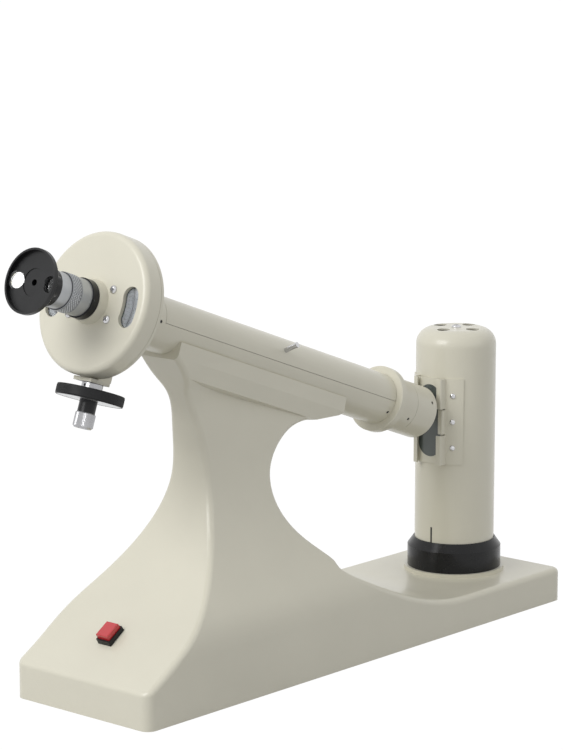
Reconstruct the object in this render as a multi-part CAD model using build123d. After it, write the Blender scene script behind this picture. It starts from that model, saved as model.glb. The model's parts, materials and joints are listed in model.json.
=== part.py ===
"""Bench disc polarimeter: sloping tube on a cast column, lamp house at the rear.

X runs from the eyepiece (-X) to the lamp (+X), Y across the base, Z up. The origin is the middle
of the whole instrument's footprint, on the surface it stands on. All lengths are millimetres.
Parts of the optical tube are drawn in the tube's own frame: s along the axis from the dial's front
face, h up and across the axis, and side towards -Y.
"""
from build123d import *
import os
from math import atan2, cos, degrees, pi, radians, sin, sqrt

# Fits and running clearances
SEAT = 0.05
RUN = 0.05
OPEN_GAP = 0.3
SEAM = 0.3
TOUCH = 0.01

# Base casting
BASE_LENGTH = 505.0
BASE_WIDTH = 139.0
BASE_CORNER_R = 8.0
SLAB_TOP = 28.5
FRONT_TOP = 28.3
RIDGE_R = 4.5
FLOOR_GAP = 0.5
SHELL_WALL = 4.0
SHELL_ROOF = 4.0
FLARE_Z = 46.0
CORE_WALL = 6.0
COLUMN_FRONT = -134.8
COLUMN_WAIST = 12.6
NOSE_HALF_WIDTH = 20.5
NOSE_Z = 254.0

# Optical axis
TILT = 20.0
DIAL_FROM_BASE = -236.3
DIAL_Z = 307.0

# Tube and its cover
TUBE_R = 21.05
TUBE_WALL = 2.6
COVER_WALL = 2.0
COVER_START = 59.4
COVER_END = 344.5
SADDLE_SCREWS = (120.0, 250.0)
SET_SCREW_R = 1.25
HANDLE_STATION = 200.5
HANDLE_ANGLE = 29.0
HANDLE_LENGTH = 12.0
HINGE_R = 1.6
HINGE_PIN_R = 0.75
KNUCKLE_LENGTH = 12.0
KNUCKLE_FIRST = 95.0
KNUCKLE_LAST = 51.5

# Saddle on top of the column
SADDLE_START = 90.0
SADDLE_END = 284.0
SADDLE_TOP = -9.5
SADDLE_BOTTOM = -33.5
SADDLE_HALF = 20.5
SADDLE_FOOT_HALF = 18.2
SADDLE_CREASE = -21.0
SADDLE_TOP_HALF = 19.9
NOSE_START = 81.5
NOSE_LIP = -23.5
SADDLE_SOLE_Z = 188.0

# Dial housing
HOUSING_R = 53.5
HOUSING_DEPTH = 15.5
HOUSING_WALL = 3.0
HOUSING_EDGE_R = 4.5
REAR_PLATE_T = 2.6
HOUSING_SEAM = 0.3
BOSS_R = 16.8
BOSS_TIP_R = 15.6
BOSS_DEPTH = 7.5
EYE_BORE_R = 12.0
FACE_SCREW_R = 22.3
FACE_SCREW_ANGLE = 30.0

# Reading windows, dial and vernier
SLOT_INSET = 4.2
SLOT_DEPTH = 14.4
DIAL_BAND = 7.5
SLOT_HALF_ANGLE = 12.0
MASK_T = 1.2
MASK_LIP = 0.4
PANE_T = 0.7
DIAL_FACE = 4.5
DIAL_RIM_GAP = 0.9
DIAL_T = 1.2
VERNIER_IN = 16.0
HUB_R = 12.0
HUB_BORE_R = 9.0
HUB_END = 32.0
ANALYSER_T = 4.0

# Bevel drive
CROWN_TEETH = 90
PINION_TEETH = 12
CROWN_INSET = 3.1
FACE_WIDTH = 6.0
KNOB_STATION = 21.3

# Handwheel stack, measured down from the tube's axis
SHAFT_R = 3.0
BEARING_DROP = 0.1
BEARING_T = 2.8
BEARING_LENGTH = 20.0
BEARING_WIDTH = 18.0
BEARING_FRONT = -11.8
PINION_BOX_TOP = 28.0
M3_R = 1.6
M25_R = 1.2
COLLAR_R = 8.0
COLLAR_LENGTH = 4.8
WHEEL_T = 8.1
WHEEL_R = 25.4
WHEEL_RIM = 1.2
WHEEL_TOP_T = 2.5
WHEEL_BEVEL = 0.7
NECK_R = 6.65
NECK_LENGTH = 9.0
KNOB_R = 7.6
KNOB_LENGTH = 11.7
KNOB_BEVEL = 1.3
KNOB_EDGE = 0.5

# Eyepiece, measured towards the eye from the dial's front face
EYE_COLLAR_R = 15.0
EYE_COLLAR_END = 13.5
BARREL_R = 14.0
BARREL_END = 24.0
FOCUS_R = 14.6
FOCUS_END = 35.0
DRAW_R = 13.5
DRAW_END = 46.0
DRAW_TUBE_R = 10.5
DISH_HUB_R = 14.4
DISH_R = 24.3
DISH_END = 65.1
DISH_FLOOR = 60.6
DISH_RIM_T = 1.5
DISH_DISC_R = 10.4
EYE_HOLE_R = 2.4
LENS_R = 6.0
LENS_OFFSET = 16.4
LENS_T = 2.4
FOCUS_TRAVEL = 2.5

# Polariser end of the tube
END_RING_R = 27.0
END_RING_T = 7.1
SPIGOT_R = 18.0
MOUNT_R = 21.7
FIRST_MOUNT_LENGTH = 21.9
SECOND_MOUNT_LENGTH = 26.8
LIGHT_BORE_R = 8.0
PLATE_R = 11.0

# Lamp seat and lamp
LAMP_FROM_BASE = 192.67
SEAT_R = 39.3
SEAT_BOTTOM = 31.7
SEAT_SHOULDER = 49.2
SEAT_TOP = 56.0
LAMP_HOUSE_R = 33.4
LAMP_HOUSE_WALL = 1.2
LAMP_HOUSE_BOTTOM = 36.3
LAMP_HOUSE_TOP = 234.5
DOME_R = 13.5
VENT_R = 5.4
VENT_RING_R = 17.0
BAFFLE_R = 25.0
BAFFLE_Z = 219.0
LAMP_R = 15.0
LAMP_TOP = 205.0

# Filter slide on the lamp house
GUIDE_LOW = 124.0
GUIDE_HIGH = 196.4
GUIDE_T = 1.2
BEND_R = 1.8
LIP_PLANE = 38.7
LIP_HALF_GAP = 10.0
GUIDE_HALF = 14.5
FLANGE_ANGLE = 49.0
TAB_HALF = 10.2
TAB_SLIT = 1.1
SLIT_END = 32.2
SLIDE_FACE = 34.65
SLIDE_T = 1.1
SLIDE_SLOT_W = 23.0
SLIDE_SLOT_H = 61.0
GUIDE_SCREW_ANGLE = 34.0
GUIDE_SCREW_PITCH = 22.0

# Switch on the front slope
SWITCH_FROM_BASE = -214.5
SWITCH_Y = 4.0
SWITCH_Z = 50.0
SWITCH_TILT = 33.0
SWITCH_LENGTH = 17.5
SWITCH_WIDTH = 14.0
SWITCH_LIP = 6.0
CAP_LENGTH = 14.2
CAP_WIDTH = 11.8
CAP_LIFT = 4.3
CAP_DEPTH = 8.0
SWITCH_TRAVEL = 2.5

# Power inlet on the lamp end of the base
INLET_WIDTH = 30.0
INLET_HEIGHT = 22.0
INLET_LIP = 2.0
INLET_DEPTH = 22.0
INLET_WALL = 1.5
PIN_WIDTH = 4.0
PIN_T = 2.0
PIN_LENGTH = 22.0

# Underside
PLATE_T = 2.0
PLATE_Z = 3.0
FOOT_R = 9.0
FOOT_INSET = 22.0
BOSS_INSET = 11.0
SCREW_BOSS_R = 5.0
CHOKE_LENGTH = 72.0
CHOKE_WIDTH = 44.0
CHOKE_HEIGHT = 17.0
CORE_TOP = 176.0
LAMP_PAD = 2.7
CABLE_R = 4.0

COS_T, SIN_T = cos(radians(TILT)), sin(radians(TILT))
EYE_REACH = DIAL_FROM_BASE - DISH_END * COS_T - DISH_R * SIN_T
BASE_X = -(EYE_REACH + BASE_LENGTH / 2 + INLET_LIP) / 2
DIAL_X = BASE_X + DIAL_FROM_BASE
LAMP_X = BASE_X + LAMP_FROM_BASE
DIAL_R = HOUSING_R - HOUSING_WALL - DIAL_RIM_GAP
SLOT_OUT = DIAL_R - SLOT_INSET
SLOT_IN = SLOT_OUT - SLOT_DEPTH
DIAL_SPLIT_R = SLOT_OUT - DIAL_BAND
CROWN_PITCH_R = DIAL_R - CROWN_INSET - FACE_WIDTH / 2
TOOTH_MODULE = 2 * CROWN_PITCH_R / CROWN_TEETH
PINION_PITCH_R = TOOTH_MODULE * PINION_TEETH / 2
TOOTH_ADD = 0.85 * TOOTH_MODULE
TOOTH_DED = 1.15 * TOOTH_MODULE
CROWN_PLANE = KNOB_STATION - PINION_PITCH_R
REAR_PLATE = HOUSING_DEPTH + HOUSING_SEAM
REAR_FACE = REAR_PLATE + REAR_PLATE_T
RING_END = COVER_END + END_RING_T
MOUNT_SPLIT = RING_END + FIRST_MOUNT_LENGTH
MOUNT_END = MOUNT_SPLIT + SECOND_MOUNT_LENGTH
HINGE_OUT = TUBE_R + HINGE_R + 0.35
BEARING_TOP = HOUSING_R + BEARING_DROP
BEARING_BOTTOM = BEARING_TOP + BEARING_T
WHEEL_TOP = BEARING_BOTTOM + COLLAR_LENGTH
NECK_END = WHEEL_TOP + WHEEL_T + NECK_LENGTH
KNOB_END = NECK_END + KNOB_LENGTH

TUBE = Plane(origin=(DIAL_X, 0, DIAL_Z), x_dir=(SIN_T, 0, COS_T), z_dir=(COS_T, 0, -SIN_T))
KNOB = Plane(
    origin=(DIAL_X + KNOB_STATION * COS_T, 0, DIAL_Z - KNOB_STATION * SIN_T),
    x_dir=(COS_T, 0, -SIN_T),
    z_dir=(-SIN_T, 0, -COS_T),
)
LAMP = Plane(origin=(LAMP_X, 0, 0))
LOW = (Align.CENTER, Align.CENTER, Align.MIN)


def along(s, h):
    """Side-view place of a point of the tube's frame."""
    return (DIAL_X + s * COS_T + h * SIN_T, DIAL_Z - s * SIN_T + h * COS_T)


def disc(radius, start, end):
    """Cylinder about the local axis between two stations."""
    return Pos(0, 0, min(start, end)) * Cylinder(radius, abs(end - start), align=LOW)


def ring(outer, inner, start, end):
    """Ring about the local axis between two stations."""
    return disc(outer, start, end) - disc(inner, start - 1, end + 1)


def turned(*points):
    """Solid of revolution about the local axis from (radius, station) points."""
    profile = make_face(Polyline(*[(r, 0, z) for r, z in points], close=True))
    return revolve(profile, Axis.Z)


def block(x0, x1, y0, y1, z0, z1):
    """Box between two corners."""
    return Pos(x0, y0, z0) * Box(x1 - x0, y1 - y0, z1 - z0, align=(Align.MIN,) * 3)


def pan_screw(head_r, head_t, shank_r, length):
    """Pan-head screw, head upward from the seat at the origin."""
    head = disc(head_r, 0, head_t)
    head = fillet(head.edges().group_by(Axis.Z)[-1], head_t * 0.6)
    slot = block(-head_r, head_r, -0.35, 0.35, head_t * 0.5, head_t + 1)
    return head - slot + disc(shank_r, -length, 0)


def export(shape, node):
    """Write one named piece; a single solid is written as itself."""
    solids = shape.solids()
    export_step(solids[0] if len(solids) == 1 else Compound(children=solids), f"parts/{node}.step")


# Base casting


def front_slope():
    """Side-view points up the front of slab and column, from the front end to the nose."""
    left = BASE_X - BASE_LENGTH / 2
    run = BASE_X + COLUMN_FRONT - left
    slope = [(left + 0.165 * run, 40), (left + 0.41 * run, 60), (left + 0.782 * run, 100)]
    return slope + [(left + run, 160), (left + run - 3.4, 195), (left + run - 12.5, 225)]


def rear_hollow():
    """Side-view points down the rear of the column to where it meets the foot."""
    points = [(-46.6, 177.5), (-62.2, 157), (-64.5, 135), (-46.3, 102.4), (-26.6, 84.6), (12, 58.3)]
    return [(BASE_X + x, z) for x, z in points]


def column_side():
    """Front-view points up the near side of the column: half width and height."""
    return [(57.4, 80), (34.4, 120), (20.4, 160), (15.2, 200), (COLUMN_WAIST, 230), (NOSE_HALF_WIDTH, NOSE_Z)]


def casting_side():
    """Side view of slab, column and nose, drawn across the whole base."""
    left, right = BASE_X - BASE_LENGTH / 2, BASE_X + BASE_LENGTH / 2
    tip = along(NOSE_START, SADDLE_TOP)
    lip = along(NOSE_START, NOSE_LIP)
    heel = along((DIAL_Z + SADDLE_BOTTOM * COS_T - SADDLE_SOLE_Z) / SIN_T, SADDLE_BOTTOM)
    crown = along((DIAL_Z + SADDLE_BOTTOM * COS_T - SADDLE_SOLE_Z) / SIN_T, SADDLE_TOP)
    under = (BASE_X - 14, SADDLE_SOLE_Z)
    hollow = rear_hollow()
    ankle = hollow[-1]
    foot = (BASE_X + 125, SLAB_TOP)
    with BuildSketch(Plane.XZ.offset(-BASE_WIDTH / 2)) as view:
        with BuildLine():
            Line((left, FLOOR_GAP), (left, FRONT_TOP))
            Spline((left, FRONT_TOP), *front_slope(), lip, tangents=[(1, 0.6), (-0.62, 0.78)])
            Polyline(lip, tip, crown, heel, under)
            Spline(under, *hollow, tangents=[(-1, 0), (1, -0.45)])
            Bezier(ankle, (ankle[0] + 38, ankle[1] - 17.1), (foot[0] - 40, SLAB_TOP), foot)
            Polyline(foot, (right, SLAB_TOP), (right, FLOOR_GAP), (left, FLOOR_GAP))
        make_face()
    return extrude(view.sketch, amount=BASE_WIDTH)


def casting_front():
    """Front view of the column, full width at the slab and narrow at the waist."""
    half = BASE_WIDTH / 2
    near = column_side()
    far = [(-y, z) for y, z in near]
    top = DIAL_Z
    with BuildSketch(Plane.YZ.offset(BASE_X - BASE_LENGTH / 2)) as view:
        with BuildLine():
            Polyline((half, FLARE_Z), (half, 0), (-half, 0), (-half, FLARE_Z))
            Spline((half, FLARE_Z), *near, tangents=[(0, 1), (0, 1)])
            Spline((-half, FLARE_Z), *far, tangents=[(0, 1), (0, 1)])
            Polyline(near[-1], (NOSE_HALF_WIDTH, top), (-NOSE_HALF_WIDTH, top), far[-1])
        make_face()
    return extrude(view.sketch, amount=BASE_LENGTH)


def rounded_edges(shape):
    """Rim of the slab and the ridges up both slopes of the column."""
    picked = []
    for edge in shape.edges():
        box = edge.bounding_box()
        level = box.size.Z < TOUCH
        at_end = abs(abs(edge.center().X - BASE_X) - BASE_LENGTH / 2) < TOUCH
        on_floor = box.min.Z < FLOOR_GAP + TOUCH
        under_tube = box.min.Z > SADDLE_SOLE_Z - TOUCH
        smooth = level and (abs(box.min.Z - FLARE_Z) < TOUCH or (box.size.X < TOUCH and not at_end))
        if not (on_floor or under_tube or smooth):
            picked.append(edge)
    return picked


def saddle():
    """Trough seat under the tube, with a crease along its side and a sloping heel."""
    side = Polyline(
        (SADDLE_TOP, 0),
        (SADDLE_TOP, SADDLE_TOP_HALF),
        (SADDLE_CREASE, SADDLE_HALF),
        (SADDLE_BOTTOM, SADDLE_FOOT_HALF),
        (SADDLE_BOTTOM - 2, COLUMN_WAIST),
        (SADDLE_BOTTOM - 2, 0),
        close=True,
    )
    half = extrude(make_face(side), SADDLE_END - SADDLE_START)
    bar = TUBE * (Pos(0, 0, SADDLE_START) * (half + mirror(half, about=Plane.XZ)))
    end = along(SADDLE_END, -TUBE_R - 1)
    front = along(SADDLE_START - 1, 0)
    sole = [(end[0] - 5, SADDLE_SOLE_Z), end, along(SADDLE_END, 0), front, (front[0], SADDLE_SOLE_Z)]
    with BuildSketch(Plane.XZ.offset(-BASE_WIDTH / 2)) as view:
        with BuildLine():
            Polyline(*sole, close=True)
        make_face()
    return bar & extrude(view.sketch, amount=BASE_WIDTH)


def screw_bosses():
    """Places of the six bottom-plate screws."""
    half_x, half_y = BASE_LENGTH / 2 - BOSS_INSET, BASE_WIDTH / 2 - BOSS_INSET
    return [(BASE_X + x, y) for x in (-half_x, 0, half_x) for y in (-half_y, half_y)]


def outer_casting():
    """Slab, column, nose and saddle, still solid."""
    plan = RectangleRounded(BASE_LENGTH, BASE_WIDTH, BASE_CORNER_R)
    body = casting_side() & casting_front() & Pos(BASE_X, 0, 0) * extrude(plan, DIAL_Z)
    body = body.solids()[0]
    body = body.fillet(RIDGE_R, rounded_edges(body)) + saddle()
    return body - TUBE * disc(TUBE_R + SEAT, -BASE_WIDTH, SADDLE_END + BASE_WIDTH)


def casting_core():
    """Space inside the slab and up the column."""
    roof = SLAB_TOP - SHELL_ROOF
    wall = 2 * SHELL_WALL
    inner = RectangleRounded(BASE_LENGTH - wall, BASE_WIDTH - wall, BASE_CORNER_R - SHELL_WALL)
    pocket = Pos(BASE_X, 0, 0) * extrude(inner, roof)
    drop = 0.6 * CORE_WALL
    front = [(x + CORE_WALL, z - drop) for x, z in front_slope()[:4]]
    rear = [(x - CORE_WALL, z - drop) for x, z in rear_hollow()]
    near = [(y - 1.2 * CORE_WALL, z) for y, z in column_side()[:4]]
    far = [(-y, z) for y, z in near]
    low, edge = roof - 4, BASE_WIDTH / 2 - SHELL_WALL
    toe = (rear[-1][0] + 74, low)
    with BuildSketch(Plane.XZ.offset(-BASE_WIDTH / 2)) as side:
        with BuildLine():
            Spline(*front, (front[-1][0] + 1, CORE_TOP))
            Line((front[-1][0] + 1, CORE_TOP), rear[0])
            Spline(*rear, toe)
            Polyline(toe, (front[0][0], low), front[0])
        make_face()
    with BuildSketch(Plane.YZ.offset(BASE_X - BASE_LENGTH / 2)) as across:
        with BuildLine():
            Polyline((edge, FLARE_Z), (edge, 0), (-edge, 0), (-edge, FLARE_Z))
            Spline((edge, FLARE_Z), *near)
            Spline((-edge, FLARE_Z), *far)
            Line(near[-1], far[-1])
        make_face()
    column = extrude(side.sketch, amount=BASE_WIDTH) & extrude(across.sketch, amount=BASE_LENGTH)
    return pocket + column


def base_casting():
    """Hollow slab with the column, nose and saddle in one casting."""
    roof = SLAB_TOP - SHELL_ROOF
    floor = PLATE_Z + PLATE_T
    body = outer_casting() - casting_core()
    web = BOSS_INSET - SHELL_WALL + 1
    for x, y in screw_bosses():
        side = 1 if y > 0 else -1
        rib = Pos(x, y + side * web / 2, floor) * Box(SCREW_BOSS_R, web, roof - floor, align=LOW)
        body = body + Pos(x, y, floor) * Cylinder(SCREW_BOSS_R, roof - floor + 1, align=LOW) + rib
        body = body - Pos(x, y, PLATE_Z) * Cylinder(M3_R + SEAT, 12, align=LOW)
    body = body + LAMP * disc(SEAT_R + LAMP_PAD, SLAB_TOP - 2, SEAT_BOTTOM)
    body = body - LAMP * disc(CABLE_R, roof - 1, SEAT_BOTTOM + 1)
    body = body - switch_plane() * switch_hole()
    half_w, half_h = inlet_body_half()
    hole = Box(2 * INLET_DEPTH, 2 * (half_w + SEAT), 2 * (half_h + SEAT))
    body = body - Pos(BASE_X + BASE_LENGTH / 2, 0, inlet_z()) * hole
    for station in SADDLE_SCREWS:
        body = body - TUBE * (below_tube(station) * disc(M3_R + SEAT, -1, 9))
    return body


def inlet_z():
    """Height of the middle of the power inlet."""
    return (FLOOR_GAP + SLAB_TOP) / 2


def base_plate():
    """Sheet-steel bottom plate let into the shell."""
    gap = 2 * (SHELL_WALL + OPEN_GAP)
    sheet = RectangleRounded(BASE_LENGTH - gap, BASE_WIDTH - gap, BASE_CORNER_R - SHELL_WALL)
    plate = Pos(BASE_X, 0, PLATE_Z) * extrude(sheet, PLATE_T)
    for x, y in screw_bosses():
        plate = plate - Pos(x, y, 0) * Cylinder(M3_R + SEAT, 20)
    return plate


def base_plate_screws():
    """Six pan-head screws from below."""
    screw = Rot(180, 0, 0) * pan_screw(3.0, 1.4, M3_R, 9)
    return Compound(children=[Pos(x, y, PLATE_Z) * screw for x, y in screw_bosses()])


def rubber_feet():
    """Four round feet under the plate."""
    half_x, half_y = BASE_LENGTH / 2 - FOOT_INSET - 12, BASE_WIDTH / 2 - FOOT_INSET
    foot = disc(FOOT_R, 0, PLATE_Z)
    foot = chamfer(foot.edges().group_by(Axis.Z)[0], 1)
    places = [(x, y) for x in (-half_x, half_x) for y in (-half_y, half_y)]
    return Compound(children=[Pos(BASE_X + x, y, 0) * foot for x, y in places])


def choke():
    """Laminated choke with its winding, standing on the bottom plate."""
    place = Pos(BASE_X + BASE_LENGTH * 0.12, 0, PLATE_Z + PLATE_T)
    core = Box(CHOKE_LENGTH, CHOKE_WIDTH, CHOKE_HEIGHT, align=LOW)
    feet = Box(CHOKE_LENGTH + 20, CHOKE_WIDTH, 1.6, align=LOW)
    coil = Pos(0, 0, 2) * Box(CHOKE_LENGTH - 32, CHOKE_WIDTH + 14, CHOKE_HEIGHT - 4, align=LOW)
    return place * (core + feet + coil)


def inlet_body_half():
    """Half width and half height of the inlet behind its lip."""
    return INLET_WIDTH / 2 - 2, INLET_HEIGHT / 2 - 2


def power_inlet():
    """Three-pin appliance inlet in the lamp end of the base."""
    face = BASE_X + BASE_LENGTH / 2
    z = inlet_z()
    half_w, half_h = inlet_body_half()
    open_w, open_h = half_w - INLET_WALL, half_h - INLET_WALL
    back = face - INLET_DEPTH
    lip_w, lip_h = INLET_WIDTH / 2, INLET_HEIGHT / 2
    lip = block(face + SEAT, face + INLET_LIP, -lip_w, lip_w, z - lip_h, z + lip_h)
    body = block(back, face + SEAT, -half_w, half_w, z - half_h, z + half_h)
    mouth = block(back + 4, face + INLET_LIP + 1, -open_w, open_w, z - open_h, z + open_h)
    shell = lip + body - mouth
    for y, dz in inlet_pins_at():
        shell = shell - Pos(back + 2, y, z + dz) * Box(20, PIN_WIDTH + 2 * SEAT, PIN_T + 2 * SEAT)
    return shell


def inlet_pins_at():
    """Pin places seen from outside: line, neutral and earth."""
    return [(-7, -2), (7, -2), (0, 3)]


def inlet_pins():
    """Blades of the power inlet."""
    start = BASE_X + BASE_LENGTH / 2 - INLET_DEPTH - 6
    blade = Pos(start + PIN_LENGTH / 2, 0, inlet_z()) * Box(PIN_LENGTH, PIN_WIDTH, PIN_T)
    return Compound(children=[Pos(0, y, dz) * blade for y, dz in inlet_pins_at()])


# Switch


def switch_plane():
    """Frame of the switch: x up the slope, z out of it."""
    t = radians(SWITCH_TILT)
    place = (BASE_X + SWITCH_FROM_BASE, SWITCH_Y, SWITCH_Z)
    return Plane(origin=place, x_dir=(cos(t), 0, sin(t)), z_dir=(-sin(t), 0, cos(t)))


def switch_hole():
    """Opening of the switch through the slope."""
    return Pos(0, 0, -40) * Box(SWITCH_LENGTH + 2 * SEAT, SWITCH_WIDTH + 2 * SEAT, 80, align=LOW)


def switch_bezel():
    """Square body of the push switch, let into the slope."""
    body = Pos(0, 0, -18) * Box(SWITCH_LENGTH, SWITCH_WIDTH, 18 + SWITCH_LIP, align=LOW)
    body = fillet(body.edges().filter_by(Axis.Z), 1.2)
    floor = -CAP_DEPTH - SWITCH_TRAVEL - OPEN_GAP
    well = Pos(0, 0, floor) * Box(CAP_LENGTH + 2 * OPEN_GAP, CAP_WIDTH + 2 * OPEN_GAP, 30, align=LOW)
    return switch_plane() * (body - well)


def switch_button():
    """Red cap that is pushed in to switch the lamp."""
    cap = Pos(0, 0, -CAP_DEPTH) * Box(CAP_LENGTH, CAP_WIDTH, CAP_DEPTH + SWITCH_LIP + CAP_LIFT, align=LOW)
    top = cap.edges().group_by(Axis.Z)[-1]
    return switch_plane() * fillet(top, 0.7)


# Tube, cover and hinge


def below_tube(station):
    """Frame on the tube's underside, z pointing into the saddle."""
    return Pos(-TUBE_R, 0, station) * Rot(0, -90, 0)


def knuckles():
    """Start stations of the hinge groups along the tube."""
    return [KNUCKLE_FIRST, COVER_END - KNUCKLE_LAST]


def hinge_leaf(start, height):
    """One knuckle with its leaf; height tells whether the leaf goes up or down."""
    length = KNUCKLE_LENGTH
    eye = Pos(0, -HINGE_OUT, 0) * disc(HINGE_R, start, start + length)
    low, high = min(0.15 * height, HINGE_R * height), max(0.15 * height, HINGE_R * height)
    leaf = block(low, high, -HINGE_OUT, -TUBE_R + 1.2, start, start + length)
    return eye + leaf


def tube_body():
    """Front collar and lower half of the tube, with the fixed knuckles."""
    bore = TUBE_R - TUBE_WALL
    collar = ring(TUBE_R, bore, REAR_FACE + SEAT, COVER_START)
    upper = block(-SEAM / 2, HOUSING_R, -HOUSING_R, HOUSING_R, COVER_START, COVER_END + 5)
    body = collar + (ring(TUBE_R, bore, COVER_START, COVER_END) - upper)
    stop = ring(bore + 0.5, LIGHT_BORE_R, COVER_START - 4, COVER_START)
    body = body + stop
    for start in knuckles():
        body = body + hinge_leaf(start, -1)
        body = body - Pos(0, -HINGE_OUT, 0) * disc(HINGE_PIN_R, start - 20, start + 40)
    for station in SADDLE_SCREWS:
        body = body - below_tube(station) * disc(M3_R + SEAT, -5, 5)
    for station, angle in fixed_screw_places()[:2]:
        body = body - on_tube(station, angle, TUBE_R) * disc(SET_SCREW_R + SEAT, -TUBE_WALL - 1, 1)
    return TUBE * body


def tube_cover():
    """Upper half of the tube, hinged on the far side."""
    start, end = COVER_START + OPEN_GAP, COVER_END - OPEN_GAP
    bore = TUBE_R - COVER_WALL
    lower = block(-HOUSING_R, SEAM / 2, -HOUSING_R, HOUSING_R, start - 1, end + 1)
    shell = ring(TUBE_R, bore, start, end) - lower
    for knuckle in knuckles():
        eye = knuckle + KNUCKLE_LENGTH + OPEN_GAP
        shell = shell + hinge_leaf(eye, 1)
        shell = shell - Pos(0, -HINGE_OUT, 0) * disc(HINGE_PIN_R + RUN, eye - 5, eye + 40)
    shell = shell - disc(bore, start - 1, end + 1)
    shell = shell - on_tube(HANDLE_STATION, HANDLE_ANGLE, TUBE_R) * disc(1.5 + SEAT, -COVER_WALL - 1, 1)
    return TUBE * shell


def hinge_pins():
    """Two pins of the cover hinge, held in the fixed knuckles."""
    reach = 2 * KNUCKLE_LENGTH + OPEN_GAP + 1.5
    pins = [disc(HINGE_PIN_R - SEAT, start - 1.5, start + reach) for start in knuckles()]
    return TUBE * (Pos(0, -HINGE_OUT, 0) * Compound(children=pins))


def on_tube(station, angle, radius):
    """Frame on the tube's skin, angle up from the near side, z pointing out."""
    a = radians(angle)
    out = Vector(sin(a), cos(a), 0)
    return Plane(origin=out * radius + Vector(0, 0, station), x_dir=(0, 0, 1), z_dir=out)


def cover_handle():
    """Lift pin of the cover."""
    pin = disc(1.9, SEAT, HANDLE_LENGTH - 1.5) + disc(1.5, -COVER_WALL + 0.2, SEAT)
    pin = pin + disc(2.3, HANDLE_LENGTH - 1.5, HANDLE_LENGTH)
    return TUBE * on_tube(HANDLE_STATION, HANDLE_ANGLE, TUBE_R) * pin


def fixed_screw_places():
    """Set screws seen on the near side: collar, tube end, first mount, first mount, second mount."""
    tube = [(COVER_START - 5, 0.0), (COVER_END - 3.8, -29.0)]
    return tube + [(RING_END + 4.4, 1.0), (MOUNT_SPLIT - 5.6, -28.0), (MOUNT_END - 6.8, 24.0)]


def tube_screws():
    """Set screws of the tube and its mounts, and the two screws into the saddle."""
    pieces = []
    for station, angle in fixed_screw_places():
        radius = TUBE_R if station < RING_END else MOUNT_R
        pieces.append(on_tube(station, angle, radius) * disc(SET_SCREW_R, -2.4, -0.5))
    for station in SADDLE_SCREWS:
        pieces.append(below_tube(station) * disc(M3_R, -TUBE_WALL + 0.2, 8))
    return TUBE * Compound(children=pieces)


# Polariser end


def end_ring():
    """Flange at the lamp end of the tube."""
    body = ring(END_RING_R, SPIGOT_R + SEAT, COVER_END, RING_END)
    outer = body.edges().filter_by(GeomType.CIRCLE).filter_by(lambda e: e.radius > END_RING_R - 0.1)
    return TUBE * chamfer(outer, 0.6)


def half_shade_mount():
    """First mount: spigot in the flange and a chamber for the half-shade plate."""
    start = COVER_END + SEAT
    body = turned(
        (LIGHT_BORE_R, start), (SPIGOT_R, start), (SPIGOT_R, RING_END + SEAT), (MOUNT_R, RING_END + SEAT),
        (MOUNT_R, MOUNT_SPLIT - 0.15), (17.0 + SEAT, MOUNT_SPLIT - 0.15), (17.0 + SEAT, MOUNT_SPLIT - 6),
        (PLATE_R + SEAT, MOUNT_SPLIT - 6), (PLATE_R + SEAT, MOUNT_SPLIT - 12),
        (LIGHT_BORE_R, MOUNT_SPLIT - 12),
    )
    for station, angle in fixed_screw_places()[2:4]:
        body = body - on_tube(station, angle, MOUNT_R) * disc(SET_SCREW_R + SEAT, -2.6, 1)
    return TUBE * body


def half_shade_plate():
    """Glass disc with its quartz strip across the middle."""
    return TUBE * disc(PLATE_R, MOUNT_SPLIT - 11.9, MOUNT_SPLIT - 8.9)


def polariser_mount():
    """Second mount: polariser in front, condenser lens towards the lamp."""
    body = turned(
        (LIGHT_BORE_R, MOUNT_SPLIT - 5.9), (17.0, MOUNT_SPLIT - 5.9), (17.0, MOUNT_SPLIT + 0.15),
        (MOUNT_R, MOUNT_SPLIT + 0.15), (MOUNT_R, MOUNT_END - 0.8), (MOUNT_R - 0.8, MOUNT_END),
        (PLATE_R + 1 + SEAT, MOUNT_END), (PLATE_R + 1 + SEAT, MOUNT_END - 9), (LIGHT_BORE_R, MOUNT_END - 9),
        (LIGHT_BORE_R, MOUNT_SPLIT + 9), (PLATE_R + SEAT, MOUNT_SPLIT + 9), (PLATE_R + SEAT, MOUNT_SPLIT + 4),
        (LIGHT_BORE_R, MOUNT_SPLIT + 4),
    )
    station, angle = fixed_screw_places()[4]
    return TUBE * (body - on_tube(station, angle, MOUNT_R) * disc(SET_SCREW_R + SEAT, -2.6, 1))


def polariser():
    """Polarising film between glass discs."""
    return TUBE * disc(PLATE_R, MOUNT_SPLIT + 4.1, MOUNT_SPLIT + 8.9)


def lens(radius, start, end, bulge):
    """Plano-convex lens, flat at the start and bulging past the end."""
    sphere_r = (radius * radius + bulge * bulge) / (2 * bulge)
    side = 1 if end > start else -1
    ball = Pos(0, 0, end + side * (bulge - sphere_r)) * Sphere(sphere_r)
    return disc(radius, start, end + side * bulge) & (ball + disc(radius, start, end - side * 1e-3))


def condenser_lens():
    """Lens that gathers the lamp's light."""
    return TUBE * lens(PLATE_R + 1, MOUNT_END - 8.9, MOUNT_END - 6, 2.5)


# Dial housing


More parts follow.
